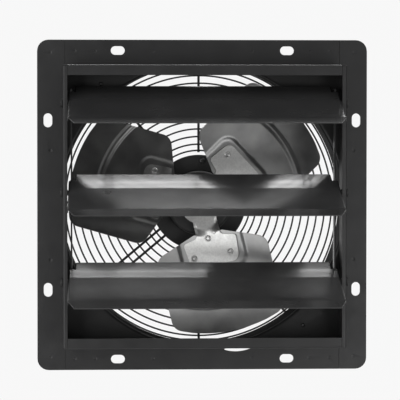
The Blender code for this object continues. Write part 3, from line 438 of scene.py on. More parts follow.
def path_curve(paths, dimensions, cyclic=True):
    """A curve that runs straight from point to point of each path."""
    curve = bpy.data.curves.new("path", "CURVE")
    curve.dimensions = dimensions
    for path in paths:
        spline = curve.splines.new("POLY")
        spline.points.add(len(path) - 1)
        for target, point in zip(spline.points, path):
            target.co = (*Vector(point).to_3d(), 1)
        spline.use_cyclic_u = cyclic
    return curve


def plate_mesh(outlines, thickness, rounded=True):
    """A flat plate: the first outline is its edge, and the others are holes in it."""
    curve = path_curve(outlines, "2D")
    curve.fill_mode = "BOTH"
    curve.extrude = thickness / 2
    return bake(curve, soften if thickness and rounded else None)


def wire_mesh(paths, radius, cyclic):
    curve = path_curve(paths, "3D", cyclic)
    curve.bevel_depth = radius
    curve.bevel_resolution = 2
    curve.use_fill_caps = not cyclic
    return bake(curve)


def turned_mesh(profile, segments=round_segments, width=edge_round):
    """A turned solid about z, with softened edges. The profile holds (radius, z) pairs."""
    mesh = bpy.data.meshes.new("profile")
    edges = [(index, index + 1) for index in range(len(profile) - 1)]
    if profile[0][0] > 0:
        edges.append((len(profile) - 1, 0))
    mesh.from_pydata([(radius, 0, z) for radius, z in profile], edges, [])

    def turn(obj):
        modify(obj, "SCREW", axis="Z", steps=segments, render_steps=segments,
               use_merge_vertices=True, merge_threshold=merge_distance)
        soften(obj, width)

    return bake(mesh, turn)


def carved_mesh(mesh, cutter_mesh):
    cutter = bpy.data.objects.new("cutter", cutter_mesh)
    bpy.context.scene.collection.objects.link(cutter)

    def carve(obj):
        modify(obj, "BOOLEAN", operation="DIFFERENCE", solver="EXACT", object=cutter)

    carved = bake(mesh, carve)
    bpy.data.objects.remove(cutter, do_unlink=True)
    return carved


def add_grid(sheet, lines):
    """Adds the faces between rows of points."""
    rows = [[sheet.verts.new(point) for point in line] for line in lines]
    for row, next_row in zip(rows, rows[1:]):
        for column in range(len(row) - 1):
            sheet.faces.new((row[column], row[column + 1], next_row[column + 1], next_row[column]))


def open_edges(sheet, test):
    """The sheet's open edges whose two points both pass a test."""
    return [edge for edge in sheet.edges if edge.is_boundary and all(test(vert.co) for vert in edge.verts)]


def grow(sheet, edges):
    """Adds a strip of faces beside a row of edges, and gives the new edges and the new points."""
    corners = dict.fromkeys(vert for edge in edges for vert in edge.verts)
    twins = {vert: sheet.verts.new(vert.co) for vert in corners}
    for edge in edges:
        first, second = edge.verts
        sheet.faces.new((first, second, twins[second], twins[first]))
    new_edges = [sheet.edges.get([twins[vert] for vert in edge.verts]) for edge in edges]
    return new_edges, list(twins.values())


def arc_points(centre, radius, start, end, steps):
    points = []
    for index in range(steps + 1):
        angle = start + (end - start) * index / steps
        points.append((centre[0] + radius * cos(angle), centre[1] + radius * sin(angle)))
    return points


def circle_points(centre, radius, segments):
    return arc_points(centre, radius, 0, 2 * pi * (segments - 1) / segments, segments - 1)


def box_corners(half_x, half_y, radius):
    return [(x * half_x, y * half_y, radius) for x, y in ((-1, -1), (1, -1), (1, 1), (-1, 1))]


def rounded_outline(corners, steps=corner_steps):
    """Points of a polygon whose corners (x, y, radius) are rounded where the radius isn't zero."""
    points = []
    for index, (x, y, radius) in enumerate(corners):
        corner = Vector((x, y))
        if radius == 0:
            points.append((x, y))
            continue
        before = (Vector(corners[index - 1][:2]) - corner).normalized()
        after = (Vector(corners[(index + 1) % len(corners)][:2]) - corner).normalized()
        half_angle = before.angle(after) / 2
        reach = radius / tan(half_angle)
        centre = corner + (before + after).normalized() * radius / sin(half_angle)
        start = corner + before * reach - centre
        turn = start.angle_signed(corner + after * reach - centre)
        for step in range(steps + 1):
            points.append(tuple(centre + Matrix.Rotation(-turn * step / steps, 2) @ start))
    return points


def rotated(along, across, angle):
    x = along * cos(angle) - across * sin(angle)
    y = along * sin(angle) + across * cos(angle)
    return x, y


def clamp(value, low=0, high=1):
    return min(high, max(low, value))


def ease(share):
    """A smooth step from 0 to 1."""
    share = clamp(share)
    return share * share * (3 - 2 * share)


def piece(node, making, mesh, body, slot_name):
    """Adds a finished piece that rides on a body and stands for a CAD node."""
    mesh.transform(to_world)
    mesh.polygons.foreach_set("use_smooth", [True] * len(mesh.polygons))
    mesh.set_sharp_from_angle(angle=smooth_angle)
    mesh.materials.clear()
    mesh.materials.append(materials[slot_name])
    obj = bpy.data.objects.new(f"{node}_{making}", mesh)
    bpy.context.scene.collection.objects.link(obj)
    modify(obj, "WEIGHTED_NORMAL", keep_sharp=True)
    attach(obj, body)
    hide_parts(node)


# Material helpers

def add_node(tree, kind, sockets, **settings):
    """Adds a node. Each socket gets a fixed value, or a link from another node's output."""
    node = tree.nodes.new("ShaderNode" + kind)
    for name, value in settings.items():
        setattr(node, name, value)
    for socket, value in sockets.items():
        if isinstance(value, bpy.types.NodeSocket):
            tree.links.new(value, node.inputs[socket])
        else:
            node.inputs[socket].default_value = value
    return node


class Finish:
    """A material under construction, with short calls for the nodes that it needs."""

    def __init__(self, name, metallic=0.0):
        self.material = bpy.data.materials.new("look_" + name)
        self.material.use_nodes = True
        self.tree = self.material.node_tree
        self.shader = self.tree.nodes["Principled BSDF"]
        self.shader.inputs["Metallic"].default_value = metallic
        self.place = self.tree.nodes.new("ShaderNodeTexCoord").outputs["Object"]

    def texture(self, kind, output, sockets, **settings):
        return add_node(self.tree, kind, {"Vector": self.place, **sockets}, **settings).outputs[output]

    def noise(self, scale, detail=3.0, stretch=(1.0, 1.0, 1.0)):
        sockets = {"Scale": scale, "Detail": detail}
        if stretch != (1.0, 1.0, 1.0):
            sockets["Vector"] = self.texture("Mapping", "Vector", {"Scale": stretch})
        return self.texture("TexNoise", "Fac", sockets)

    def spread(self, source, low, high):
        sockets = {"Value": source, "To Min": low, "To Max": high}
        sockets["From Min"], sockets["From Max"] = noise_span
        return add_node(self.tree, "MapRange", sockets).outputs["Result"]

    def colours(self, source, low, high, span=noise_span):
        node = add_node(self.tree, "ValToRGB", {"Fac": source})
        for element, place, colour in zip(node.color_ramp.elements, span, (low, high)):
            element.position = place
            element.color = (*colour, 1.0)
        return node.outputs["Color"]

    def finish(self, colour, roughness, height=None, depth=0, strength=1.0):
        """Links colour and roughness to the shader, and a fine relief where there is one."""
        sockets = {"Base Color": colour, "Roughness": roughness}
        if height:
            bump = {"Height": height, "Distance": depth, "Strength": strength}
            sockets["Normal"] = add_node(self.tree, "Bump", bump).outputs["Normal"]
        for name, output in sockets.items():
            self.tree.links.new(output, self.shader.inputs[name])
        return self.material


def painted(name, dark, light, rough_low, rough_high, peel_scale=500.0, peel_depth=paint_peel_depth):
    """Powder paint on sheet metal: slight mottling, uneven gloss and a fine orange-peel surface."""
    look = Finish(name)
    tone = look.colours(look.noise(scale=26.0, detail=4.0), dark, light)
    gloss = look.spread(look.noise(scale=60.0), rough_low, rough_high)
    return look.finish(tone, gloss, look.noise(peel_scale, detail=2.0), peel_depth, strength=0.5)


def black_steel():
    return painted("black_steel", (0.0125, 0.0125, 0.0130), (0.0195, 0.0195, 0.0200), 0.34, 0.46)


def panel_black():
    return painted("panel_black", (0.0045, 0.0045, 0.0045), (0.0080, 0.0080, 0.0080), 0.42, 0.58)


def louvre_black():
    return painted("louvre_black", (0.0420, 0.0420, 0.0425), (0.0560, 0.0560, 0.0565), 0.155, 0.175)


def guard_black():
    return painted("guard_black", (0.0050, 0.0050, 0.0050), (0.0100, 0.0100, 0.0100), 0.36, 0.50)


def motor_black():
    return painted("motor_black", (0.0120, 0.0120, 0.0120), (0.0200, 0.0200, 0.0200), 0.36, 0.50,
                   peel_scale=300.0, peel_depth=coarse_peel_depth)


def blade_metal():
    """Rolled steel sheet: fine drawn lines, cloudy gloss and a few soft stains."""
    look = Finish("blade_metal", metallic=0.92)
    lines = look.noise(scale=900.0, detail=2.0, stretch=(1.0, 1.0, 0.06))
    clouds = look.noise(scale=34.0, detail=4.0)
    tone = look.colours(clouds, (0.24, 0.24, 0.24), (0.34, 0.34, 0.335))
    return look.finish(tone, look.spread(clouds, 0.28, 0.38), lines, rolled_line_depth, strength=0.5)


def spider_metal():
    """Bright zinc plate with faint spangle and small handling marks."""
    look = Finish("spider_metal", metallic=0.95)
    spangle = look.texture("TexVoronoi", "Distance", {"Scale": 420.0})
    flakes = look.noise(scale=120.0)
    tone = look.colours(spangle, (0.46, 0.46, 0.455), (0.56, 0.56, 0.55), span=(0.0, 0.8))
    return look.finish(tone, look.spread(flakes, 0.28, 0.42), flakes, zinc_flake_depth, strength=0.5)


def turned_metal(name, dark, light, rough_low, rough_high):
    """Machined steel: fine rings about the fan's axis and slight mottling."""
    look = Finish(name, metallic=1.0)
    rings = look.noise(scale=700.0, detail=2.0, stretch=(0.1, 1.0, 0.1))
    mottle = look.noise(scale=90.0)
    gloss = look.spread(mottle, rough_low, rough_high)
    return look.finish(look.colours(mottle, dark, light), gloss, rings, turned_ring_depth, strength=0.5)


def hub_metal():
    return turned_metal("hub_metal", (0.32, 0.32, 0.32), (0.42, 0.42, 0.41), 0.28, 0.42)


def shaft_steel():
    return turned_metal("shaft_steel", (0.46, 0.46, 0.46), (0.56, 0.56, 0.55), 0.16, 0.28)


def bearing_steel():
    return turned_metal("bearing_steel", (0.50, 0.50, 0.51), (0.60, 0.60, 0.60), 0.18, 0.30)


def pin_steel():
    """Small black-oxide fasteners whose colour wears thin in spots."""
    look = Finish("pin_steel", metallic=0.85)
    wear = look.noise(scale=450.0, detail=4.0)
    tone = look.colours(wear, (0.045, 0.045, 0.045), (0.13, 0.13, 0.13), span=(0.4, 0.72))
    return look.finish(tone, look.spread(wear, 0.30, 0.48), wear, wear_depth, strength=0.4)


def lamination_steel():
    """A stack of thin sheets seen from its edge."""
    look = Finish("lamination_steel", metallic=0.9)
    sheets = look.texture("TexWave", "Fac", {"Scale": 320.0, "Distortion": 0.4}, bands_direction="Y")
    tone = look.colours(sheets, (0.10, 0.10, 0.11), (0.30, 0.30, 0.31), span=(0.2, 0.8))
    return look.finish(tone, look.spread(look.noise(scale=80.0), 0.42, 0.58), sheets, lamination_depth)


def winding_copper():
    """Varnished copper wire laid round the motor's axis."""
    look = Finish("winding_copper", metallic=0.8)
    strands = look.noise(scale=500.0, stretch=(0.3, 1.0, 0.3))
    tone = look.colours(strands, (0.24, 0.07, 0.02), (0.52, 0.20, 0.08))
    return look.finish(tone, look.spread(strands, 0.25, 0.42), strands, strand_depth)


def moulded(name, grain, mottle_scale, dark, light, rough_low, rough_high, depth, strength):
    """Moulded plastic or rubber with a fine matt grain."""
    look = Finish(name)
    height = look.noise(*grain)
    tone = look.colours(look.noise(mottle_scale), dark, light)
    return look.finish(tone, look.spread(height, rough_low, rough_high), height, depth, strength)


def bush_plastic():
    return moulded("bush_plastic", (1500.0, 2.0), 120.0, (0.010, 0.010, 0.010), (0.018, 0.018, 0.018),
                   0.42, 0.56, nylon_grain_depth, strength=0.5)


def gland_rubber():
    return moulded("gland_rubber", (1100.0, 3.0), 150.0, (0.011, 0.011, 0.011), (0.020, 0.020, 0.020),
                   0.66, 0.82, rubber_grain_depth, strength=0.6)


makers = (black_steel, panel_black, louvre_black, guard_black, motor_black, blade_metal, spider_metal,
          hub_metal, shaft_steel, pin_steel, lamination_steel, winding_copper, bearing_steel, bush_plastic,
          gland_rubber)
materials = {make.__name__: make() for make in makers}


# Frame

def slot_outline(out, along):
    """A round-ended slot in a rail's own axes, whose long side runs along the rail."""
    half_run = (slot_length - slot_width) / 2
    radius = slot_width / 2
    upper = arc_points((out, along + half_run), radius, 0, pi, 3 * corner_steps)
    return upper + arc_points((out, along - half_run), radius, pi, 2 * pi, 3 * corner_steps)


def edge_slots():
    return [slot_outline(flange_half - slot_from_edge, side * slot_along_edge) for side in (-1, 1)]


def relief_outline(floor):
    """The shallow arc relief at the foot of the frame, as (x, y) points."""
    half_angle = acos((relief_centre[1] - floor) / relief_radius)
    start = -pi / 2 - half_angle
    return arc_points(relief_centre, relief_radius, start, start + 2 * half_angle, 4 * corner_steps)


def panel_relief():
    """The same relief in the panel, where it keeps clear of the inlet's bend."""
    lower = []
    upper = []
    steps = 4 * corner_steps
    for step in range(-steps, steps + 1):
        offset = relief_radius * sin(relief_half_angle * step / steps)
        x = relief_centre[0] + offset
        bottom = relief_centre[1] - sqrt(relief_radius**2 - offset**2)
        top = min(-box_half - rail_sheet, -sqrt((inlet_bend_radius + relief_margin) ** 2 - x**2))
        if top - bottom > relief_margin:
            lower.append((x, bottom))
            upper.append((x, top))
    return lower + upper[::-1]


def press_welds(sheet, places):
    """Sinks a small round dish into the sheet at each hole left for a spot weld."""
    for place in places:
        centre = Vector(place)
        rim = open_edges(sheet, lambda point: (point.xy - centre).length < weld_radius + edge_round)
        for reach_share, depth_share in weld_step_shares:
            rim, verts = grow(sheet, rim)
            for vert in verts:
                spoke = (vert.co.xy - centre).normalized() * weld_radius * reach_share
                vert.co = (*(centre + spoke), -weld_depth * depth_share)
        bmesh.ops.contextual_create(sheet, geom=rim)


def rail_path(lip_edge):
    """The rail's section from the flange's bend to the lip's edge, as (out, z) pairs."""
    foot = arc_points((rail_bend_line, rail_middle + rail_bend_radius), rail_bend_radius,
                      -pi / 2, -pi, bend_steps)
    front = box_depth - rail_sheet / 2 - edge_round
    head = arc_points((rail_wall - rail_bend_radius, front - rail_bend_radius), rail_bend_radius,
                      0, pi / 2, bend_steps)
    return foot[1:] + head + [(lip_edge, front)]


def rail_mesh(outlines, welds, wall_half, lip_width, lip_half, turn):
    """A flange strip with slots and weld dishes, its box wall and its return lip."""
    holes = [circle_points(place, weld_radius, 2 * corner_steps) for place in welds]
    sheet = bmesh_of(plate_mesh(outlines + holes, 0))

    def on_bend(point):
        return abs(point.x - rail_bend_line) < merge_distance and abs(point.y) < wall_half + merge_distance

    rim = open_edges(sheet, on_bend)
    press_welds(sheet, welds)
    for vert in sheet.verts:
        vert.co.z += rail_middle
    for out, height in rail_path(box_half - lip_width):
        limit = lip_half if out < rail_wall - merge_distance else wall_half
        rim, verts = grow(sheet, rim)
        for vert in verts:
            vert.co = (out, clamp(vert.co.y, -limit, limit), height)
    bmesh.ops.recalc_face_normals(sheet, faces=sheet.faces)
    return thick_sheet(moved(mesh_of(sheet), Matrix.Rotation(turn, 4, "Z")), rail_sheet)


def side_rails():
    corners = [
        (box_inner_half, -flange_half, 0),
        (flange_half, -flange_half, flange_corner_radius),
        (flange_half, flange_half, flange_corner_radius),
        (box_inner_half, flange_half, 0),
        (box_inner_half, box_half, 0),
        (rail_bend_line, box_half, 0),
        (rail_bend_line, -box_half, 0),
        (box_inner_half, -box_half, 0),
    ]
    outlines = [rounded_outline(corners)] + edge_slots()
    welds = []
    for side in (-1, 1):
        welds.append((side_weld_line, side * side_weld_height))
        welds.append((corner_weld_height, side * corner_weld_height))
    for hand, turn in (("right", 0), ("left", pi)):
        mesh = rail_mesh(outlines, welds, box_half, side_lip_width, end_rail_half, turn)
        piece(f"{hand}_side_rail", "pressed", mesh, "frame", "black_steel")


def end_rails():
    inner = rail_bend_line
    outline = [(inner, -end_rail_half), (flange_half, -end_rail_half), (flange_half, end_rail_half),
               (inner, end_rail_half)]
    welds = [(end_weld_line, side * place) for side in (-1, 1) for place in end_weld_places]
    relief = [(-y, x) for x, y in relief_outline(-(inner + relief_strip))]
    lip_half = box_half - side_lip_width - seat_gap
    for name, extra, turn in (("top_rail", [], pi / 2), ("bottom_rail", [relief], -pi / 2)):
        outlines = [outline] + edge_slots() + extra
        mesh = rail_mesh(outlines, welds, end_rail_half, end_lip_width - seat_gap, lip_half, turn)
        piece(name, "pressed", mesh, "frame", "black_steel")


def fan_panel():
    """The plate behind the rails, with its round air inlet drawn back into a short collar."""
    outlines = [rounded_outline(box_corners(flange_half, flange_half, flange_corner_radius))]
    outlines.append(circle_points((0, 0), inlet_bend_radius, fine_segments))
    for quarter in range(4):
        for slot in edge_slots():
            outlines.append([rotated(x, y, quarter * pi / 2) for x, y in slot])
    outlines.append(panel_relief())
    for place in support_screw_places():
        outlines.append(circle_points(place, guard_screw_radius + seat_gap, small_segments))
    sheet = bmesh_of(plate_mesh(outlines, 0))
    rim = open_edges(sheet, lambda point: abs(point.xy.length - inlet_bend_radius) < merge_distance)
    for step in range(1, bend_steps + 2):
        angle = min(step, bend_steps) / bend_steps * pi / 2
        radius = inlet_bend_radius - collar_bend_radius * sin(angle)
        depth = collar_bend_radius * (1 - cos(angle)) + (panel_sheet if step > bend_steps else 0)
        rim, verts = grow(sheet, rim)
        for vert in verts:
            vert.co = (*(vert.co.xy.normalized() * radius), -depth)
    for vert in sheet.verts:
        vert.co.z += panel_sheet / 2
    bmesh.ops.recalc_face_normals(sheet, faces=sheet.faces)
    piece("fan_panel", "pressed", thick_sheet(mesh_of(sheet), panel_sheet), "frame", "panel_black")


# Louvres, pivots and tie rods

def louvre_rise(forward):
    """Height of the louvre's sheet behind and before its ridge, in the louvre's own section."""
    if forward < -ridge_back:
        share = (forward + rear_edge_back) / (rear_edge_back - ridge_back)
        return rear_edge_rise + (ridge_rise - rear_edge_rise) * share
    share = (forward + ridge_back) / (lip_fold_forward + ridge_back)
    return ridge_rise - (lip_fold_drop + ridge_rise) * share


def flange_bottom(forward):
    """How low the turned-down end of the louvre reaches: a shallow flange with a deeper pivot tab."""
    if -end_tab_back <= forward <= end_tab_front:
        return -end_tab_drop
    return louvre_rise(forward) - end_flange_depth


def fold_down(sheet, x, back, front, bottom):
    """Bends the sheet down from its edge at one end line, to the height that the section asks for."""
    chosen = []
    for edge in open_edges(sheet, lambda point: abs(abs(point.x) - x) < merge_distance):
        if back < (edge.verts[0].co.z + edge.verts[1].co.z) / 2 < front:
            chosen.append(edge)
    for vert in grow(sheet, chosen)[1]:
        vert.co.y = bottom(vert.co.z)


def louvre_mesh():
    notch_end = -rear_edge_back + notch_length
    lip_corner = louvre_half_width - lip_chamfer
    stations = [-rear_edge_back, notch_end, -end_tab_back - end_flange_step, -end_tab_back, -ridge_back]
    stations += [end_tab_front, end_tab_front + end_flange_step, end_flange_front, lip_fold_forward]
    rows = [(forward, louvre_rise(forward), louvre_half_width, tie_tab_x) for forward in stations]
    rows.append((lip_end_forward, -lip_end_drop, lip_corner, lip_corner - lip_chamfer))
    sheet = bmesh.new()
    add_grid(sheet, [[(x, height, forward) for x in (-outer_x, -inner_x, inner_x, outer_x)]
                     for forward, height, outer_x, inner_x in rows])
    middles = [(face, face.calc_center_median()) for face in sheet.faces]
    notches = [face for face, middle in middles if abs(middle.x) > tie_tab_x and middle.z < notch_end]
    bmesh.ops.delete(sheet, geom=notches, context="FACES")
    fold_down(sheet, tie_tab_x, -rear_edge_back, notch_end, lambda forward: tie_pin_rise - tie_tab_drop)
    fold_down(sheet, louvre_half_width, notch_end, end_flange_front, flange_bottom)
    bmesh.ops.recalc_face_normals(sheet, faces=sheet.faces)

    def fold(obj):
        modify(obj, "BEVEL", width=louvre_bend_radius, segments=bend_steps, limit_method="ANGLE",
               angle_limit=fold_angle)
        thicken(obj, louvre_sheet)

    return bake(mesh_of(sheet), fold)


def pivot_pin_mesh():
    """A shouldered pin from the louvre's end tab out through the bush in the wall."""
    tip = box_half + seat_gap + bush_flange_thickness + pin_end_reach
    collar_front = box_inner_half - bush_inner_reach - seat_gap
    collar_back = louvre_half_width + louvre_sheet / 2 + seat_gap
    root = louvre_half_width - louvre_sheet / 2
    head = root - tie_head_thickness
    return turned_mesh([
        (0, tip), (pivot_pin_radius, tip), (pivot_pin_radius, collar_front),
        (pivot_collar_radius, collar_front), (pivot_collar_radius, collar_back),
        (pivot_pin_radius, collar_back), (pivot_pin_radius, root), (tie_head_radius, root),
        (tie_head_radius - tie_head_thickness / 2, head), (0, head),
    ], small_segments)


def tie_pin_mesh():
    """A rivet pin through the tie tab and the tie rod, with a domed head at each end."""
    outer_seat = tie_rod_x + tie_rod_thickness + seat_gap
    inner_seat = tie_tab_x - louvre_sheet / 2 - seat_gap
    crown = tie_head_radius * tie_crown_share
    half = []
    for seat, height in ((outer_seat, tie_head_thickness), (inner_seat, -tie_head_thickness)):
        half.append([(0, seat + height), (crown, seat + height), (tie_head_radius, seat + height / 3),
                     (tie_head_radius, seat), (tie_pin_radius, seat)])
    return turned_mesh(half[0] + half[1][::-1], small_segments)


def bush_mesh():
    bore = pivot_pin_radius + seat_gap
    flange_back = box_half + seat_gap
    flange_front = flange_back + bush_flange_thickness
    barrel_end = box_inner_half - bush_inner_reach
    return turned_mesh([
        (bore, flange_front), (bush_flange_radius, flange_front), (bush_flange_radius, flange_back),
        (bush_barrel_radius, flange_back), (bush_barrel_radius, barrel_end), (bore, barrel_end),
    ], small_segments)


def louvres():
    for index, height in enumerate(pivot_heights):
        number = index + 1
        body = f"louvre_{number}"
        pivot = shift(0, height, pivot_forward)
        piece(body, "folded", moved(louvre_mesh(), pivot), body, "louvre_black")
        tie_place = pivot @ shift(0, tie_pin_rise, -tie_pin_back)
        for hand, side in hands:
            turned = (
                ("pivot_bush", bush_mesh(), "frame", "bush_plastic", pivot),
                ("pivot_pin", pivot_pin_mesh(), body, "pin_steel", pivot),
                ("tie_pin", tie_pin_mesh(), body, "pin_steel", tie_place),
            )
            for kind, mesh, rider, slot_name, place in turned:
                mesh = moved(mesh, place @ along_x(side))
                piece(f"{kind}_{hand}_{number}", "turned", mesh, rider, slot_name)


def tie_rods():
    corners = box_corners(tie_rod_depth / 2, louvre_pitch + tie_rod_end, tie_rod_corner_radius)
    outlines = [rounded_outline(corners)]
    for height in pivot_heights:
        place = (0, height - middle_pivot_height)
        outlines.append(circle_points(place, tie_pin_radius + seat_gap, small_segments))
    for hand, side in hands:
        place = shift(side * (tie_rod_x + tie_rod_thickness / 2), middle_pivot_height + tie_pin_rise,
                      pivot_forward - tie_pin_back)
        rod = moved(plate_mesh(outlines, tie_rod_thickness), place @ Matrix.Rotation(pi / 2, 4, "Y"))
        piece(f"tie_rod_{hand}", "bar", rod, "tie_rods", "louvre_black")


# Fan

def blade_rise(along, across):
    """How far forward the blade's plain middle surface lies, along its arm and across it."""
    pitch = blade_root_pitch + (blade_tip_pitch - blade_root_pitch) * along / fan_radius
    bow = blade_camber * (1 - (across / leading_reach) ** 2)
    return across * tan(pitch) - bow


def rib_rise(along, across):
    """The pressed stiffening rib near the tip, which fades out towards the trailing side."""
    offset = (hypot(along, across) - rib_radius) / rib_half_width
    if abs(offset) >= 1:
        return 0
    angle = atan2(across, along)
    fade = 1 - ease((angle - rib_fade_start) / (rib_fade_end - rib_fade_start))
    return rib_height * (1 - offset**2) ** 2 * fade


def plateau_rise(along, across):
    """The raised seat under the spider's pad, with a sloped band round it."""
    beyond_end = max(along - (plateau_end - plateau_corner), 0)
    beyond_side = max(abs(across) - (plateau_half - plateau_corner), 0)
    distance = hypot(beyond_end, beyond_side) - plateau_corner
    return plateau_height * (1 - ease(distance / plateau_slope))


def blade_surface(along, across):
    return blade_rise(along, across) + rib_rise(along, across) + plateau_rise(along, across)


def blade_outline():
    leading_tip = sqrt(fan_radius**2 - leading_reach**2)
    trailing_tip = sqrt(fan_radius**2 - trailing_reach**2)
    start = atan2(-leading_reach, leading_tip)
    end = atan2(trailing_reach, trailing_tip)
    tip = arc_points((0, 0), fan_radius, start, end, tip_steps)[tip_trim:-tip_trim]
    corners = [
        (blade_root_radius, -blade_root_half, 0),
        (blade_shoulder_radius, -leading_reach, blade_corner_radius),
        (leading_tip, -leading_reach, blade_corner_radius),
        *[(x, y, 0) for x, y in tip],
        (trailing_tip, trailing_reach, blade_corner_radius),
        (blade_shoulder_radius, trailing_reach, blade_corner_radius),
        (blade_root_radius, blade_root_half, 0),
    ]
    return rounded_outline(corners, 2 * corner_steps)


def outline_span(outline, across):
    """The lowest and highest station along the arm where the outline meets a line across it."""
    crossings = []
    for (along_a, across_a), (along_b, across_b) in zip(outline, outline[1:] + outline[:1]):
        if across_a == across_b:
            continue
        share = (across - across_a) / (across_b - across_a)
        if 0 <= share <= 1:
            crossings.append(along_a + (along_b - along_a) * share)
    return min(crossings), max(crossings)


def blade_mesh():
    outline = blade_outline()
    middle = (trailing_reach - leading_reach) / 2
    half = (trailing_reach + leading_reach) / 2 - merge_distance
    lines = []
    for row in range(blade_rows + 1):
        across = middle - half * cos(pi * row / blade_rows)
        low, high = outline_span(outline, across)
        alongs = [low + (high - low) * column / blade_columns for column in range(blade_columns + 1)]
        lines.append([(along, across, blade_surface(along, across)) for along in alongs])
    sheet = bmesh.new()
    add_grid(sheet, lines)
    bmesh.ops.remove_doubles(sheet, verts=sheet.verts, dist=merge_distance)
    bmesh.ops.recalc_face_normals(sheet, faces=sheet.faces)
    return thick_sheet(mesh_of(sheet), blade_sheet)


def arm_outline():
    """One half of the spider's arm, as (along, across) points from its middle line out."""
    corners = [
        (0, 0, 0),
        (sqrt(spider_disc_radius**2 - neck_half**2), neck_half, 0),
        (neck_end, neck_half, neck_corner_radius),
        (pad_start, pad_inner_half, neck_corner_radius),
        (pad_end, pad_outer_half, pad_corner_radius),
        (pad_end, 0, 0),
    ]
    return rounded_outline(corners, 2 * corner_steps)[1:-1]


def arm_half(outline, along):
    """Half the width of the spider's arm at a station, which widens into its third of the disc."""
    if along <= spider_disc_radius * cos(pi / 3):
        return along * tan(pi / 3)
    if along <= outline[0][0]:
        return sqrt(spider_disc_radius**2 - along**2)
    for (along_a, half_a), (along_b, half_b) in zip(outline, outline[1:]):
        if along_a <= along <= along_b and along_b > along_a:
            return half_a + (half_b - half_a) * (along - along_a) / (along_b - along_a)
    return outline[-1][1]


def spider_rise(along, across):
    """How far forward the spider's middle surface lies: flat at the hub, and on the blade at the pads."""
    radius = hypot(along, across)
    bend = ease((radius - spider_bend_start) / spider_bend_length)
    flat = cad_spider_middle + cad_spider_half - spider_sheet / 2
    seat = blade_rise(along, across) + (spider_top - spider_sheet / 2) / cos(blade_root_pitch)
    roll = ease((abs(across) - (neck_half - neck_roll)) / neck_roll)
    fade = 1 - ease((along - neck_fade_start) / neck_fade_length)
    neck_share = ease((radius - spider_disc_radius) / neck_roll) * fade
    return flat + (seat - flat) * bend - neck_roll_drop * roll * neck_share


def spider_mesh():
    outline = arm_outline()
    sector = spider_disc_radius * cos(pi / 3)
    neck_start = outline[0][0]
    spans = [(0, sector, sector_steps), (sector, neck_start, disc_steps)]
    previous = neck_start
    for along in sorted({along for along, _ in outline if along > neck_start}):
        spans.append((previous, along, max(1, round((along - previous) / spider_step))))
        previous = along
    stations = [0]
    for start, end, steps in spans:
        stations += [start + (end - start) * step / steps for step in range(1, steps + 1)]
    sheet = bmesh.new()
    for angle in arm_angles:
        lines = []
        for along in stations:
            half = arm_half(outline, along)
            reaches = [half * (2 * column / spider_columns - 1) for column in range(spider_columns + 1)]
            lines.append([
                (*rotated(along, across, angle), spider_rise(along, across)) for across in reaches
            ])
        add_grid(sheet, lines)
    bmesh.ops.remove_doubles(sheet, verts=sheet.verts, dist=10 * merge_distance)
    hole = hub_boss_radius + seat_gap
    inner = [face for face in sheet.faces if face.calc_center_median().xy.length < hole]
    bmesh.ops.delete(sheet, geom=inner, context="FACES")
    for edge in open_edges(sheet, lambda point: point.xy.length < hole + spider_hole_margin):
        for vert in edge.verts:
            vert.co.xy = vert.co.xy.normalized() * hole
    bmesh.ops.recalc_face_normals(sheet, faces=sheet.faces)
    return thick_sheet(mesh_of(sheet), spider_sheet)


def standing_place(along, across, height=0):
    """A place on the arm's surface whose z stands square on it, at a height above the blade's middle."""
    step = rivet_shank_radius
    slope_along = (blade_rise(along + step, across) - blade_rise(along - step, across)) / (2 * step)
    slope_across = (blade_rise(along, across + step) - blade_rise(along, across - step)) / (2 * step)
    normal = Vector((-slope_along, -slope_across, 1)).normalized()
    turn = normal.to_track_quat("Z", "Y").to_matrix().to_4x4()
    return Matrix.Translation(Vector((along, across, blade_rise(along, across))) + normal * height) @ turn


def rivet_mesh():
    """A semi-tubular rivet: its rolled front has a dimple, and its rear head is a low dome."""
    front = spider_top - rivet_sink
    top = spider_top + rivet_head_height
    back = -blade_sheet / 2 + plateau_height
    floor = top - rivet_dimple_depth
    profile = [(0, floor), (rivet_dimple_radius * dimple_floor_share, floor)]
    profile.append((rivet_dimple_radius, top - rivet_dimple_depth / 3))
    roll_radius = (rivet_head_radius - rivet_dimple_radius) / 2
    roll_centre = (rivet_dimple_radius + roll_radius, top - roll_radius)
    profile += arc_points(roll_centre, roll_radius, pi * 3 / 4, 0, corner_steps)
    profile += [(rivet_head_radius, front), (rivet_shank_radius, front), (rivet_shank_radius, back)]
    for step in range(dome_steps + 1):
        angle = step / dome_steps * pi / 2
        profile.append((rivet_head_radius * cos(angle), back - rivet_head_height * sin(angle)))
    profile[-1] = (0, profile[-1][1])
    return turned_mesh(profile, small_segments, edge_round / 2)


def fan():
    turns = [hub_place @ Matrix.Rotation(angle, 4, "Z") for angle in arm_angles]
    blade = blade_mesh()
    for index, turn in enumerate(turns):
        piece(f"fan_blade_{index + 1}", "pressed", moved(blade.copy(), turn), "rotor", "blade_metal")
    spots = [(rivet_inner_radius, 0)]
    spots += [rotated(rivet_outer_radius, 0, side * rivet_outer_angle) for side in (-1, 1)]
    places = [turn @ standing_place(along, across) for turn in turns for along, across in spots]
    peg = turned_mesh([
        (0, peg_height), (peg_radius, peg_height), (peg_radius, -peg_height), (0, -peg_height),
    ], small_segments)
    peg_places = [turn @ standing_place(peg_along, peg_across, spider_top) for turn in turns]
    mesh = joined_mesh(moved(spider_mesh(), hub_place), copies_mesh(rivet_mesh(), places),
                       copies_mesh(peg, peg_places))
    piece("fan_spider", "pressed", mesh, "rotor", "spider_metal")


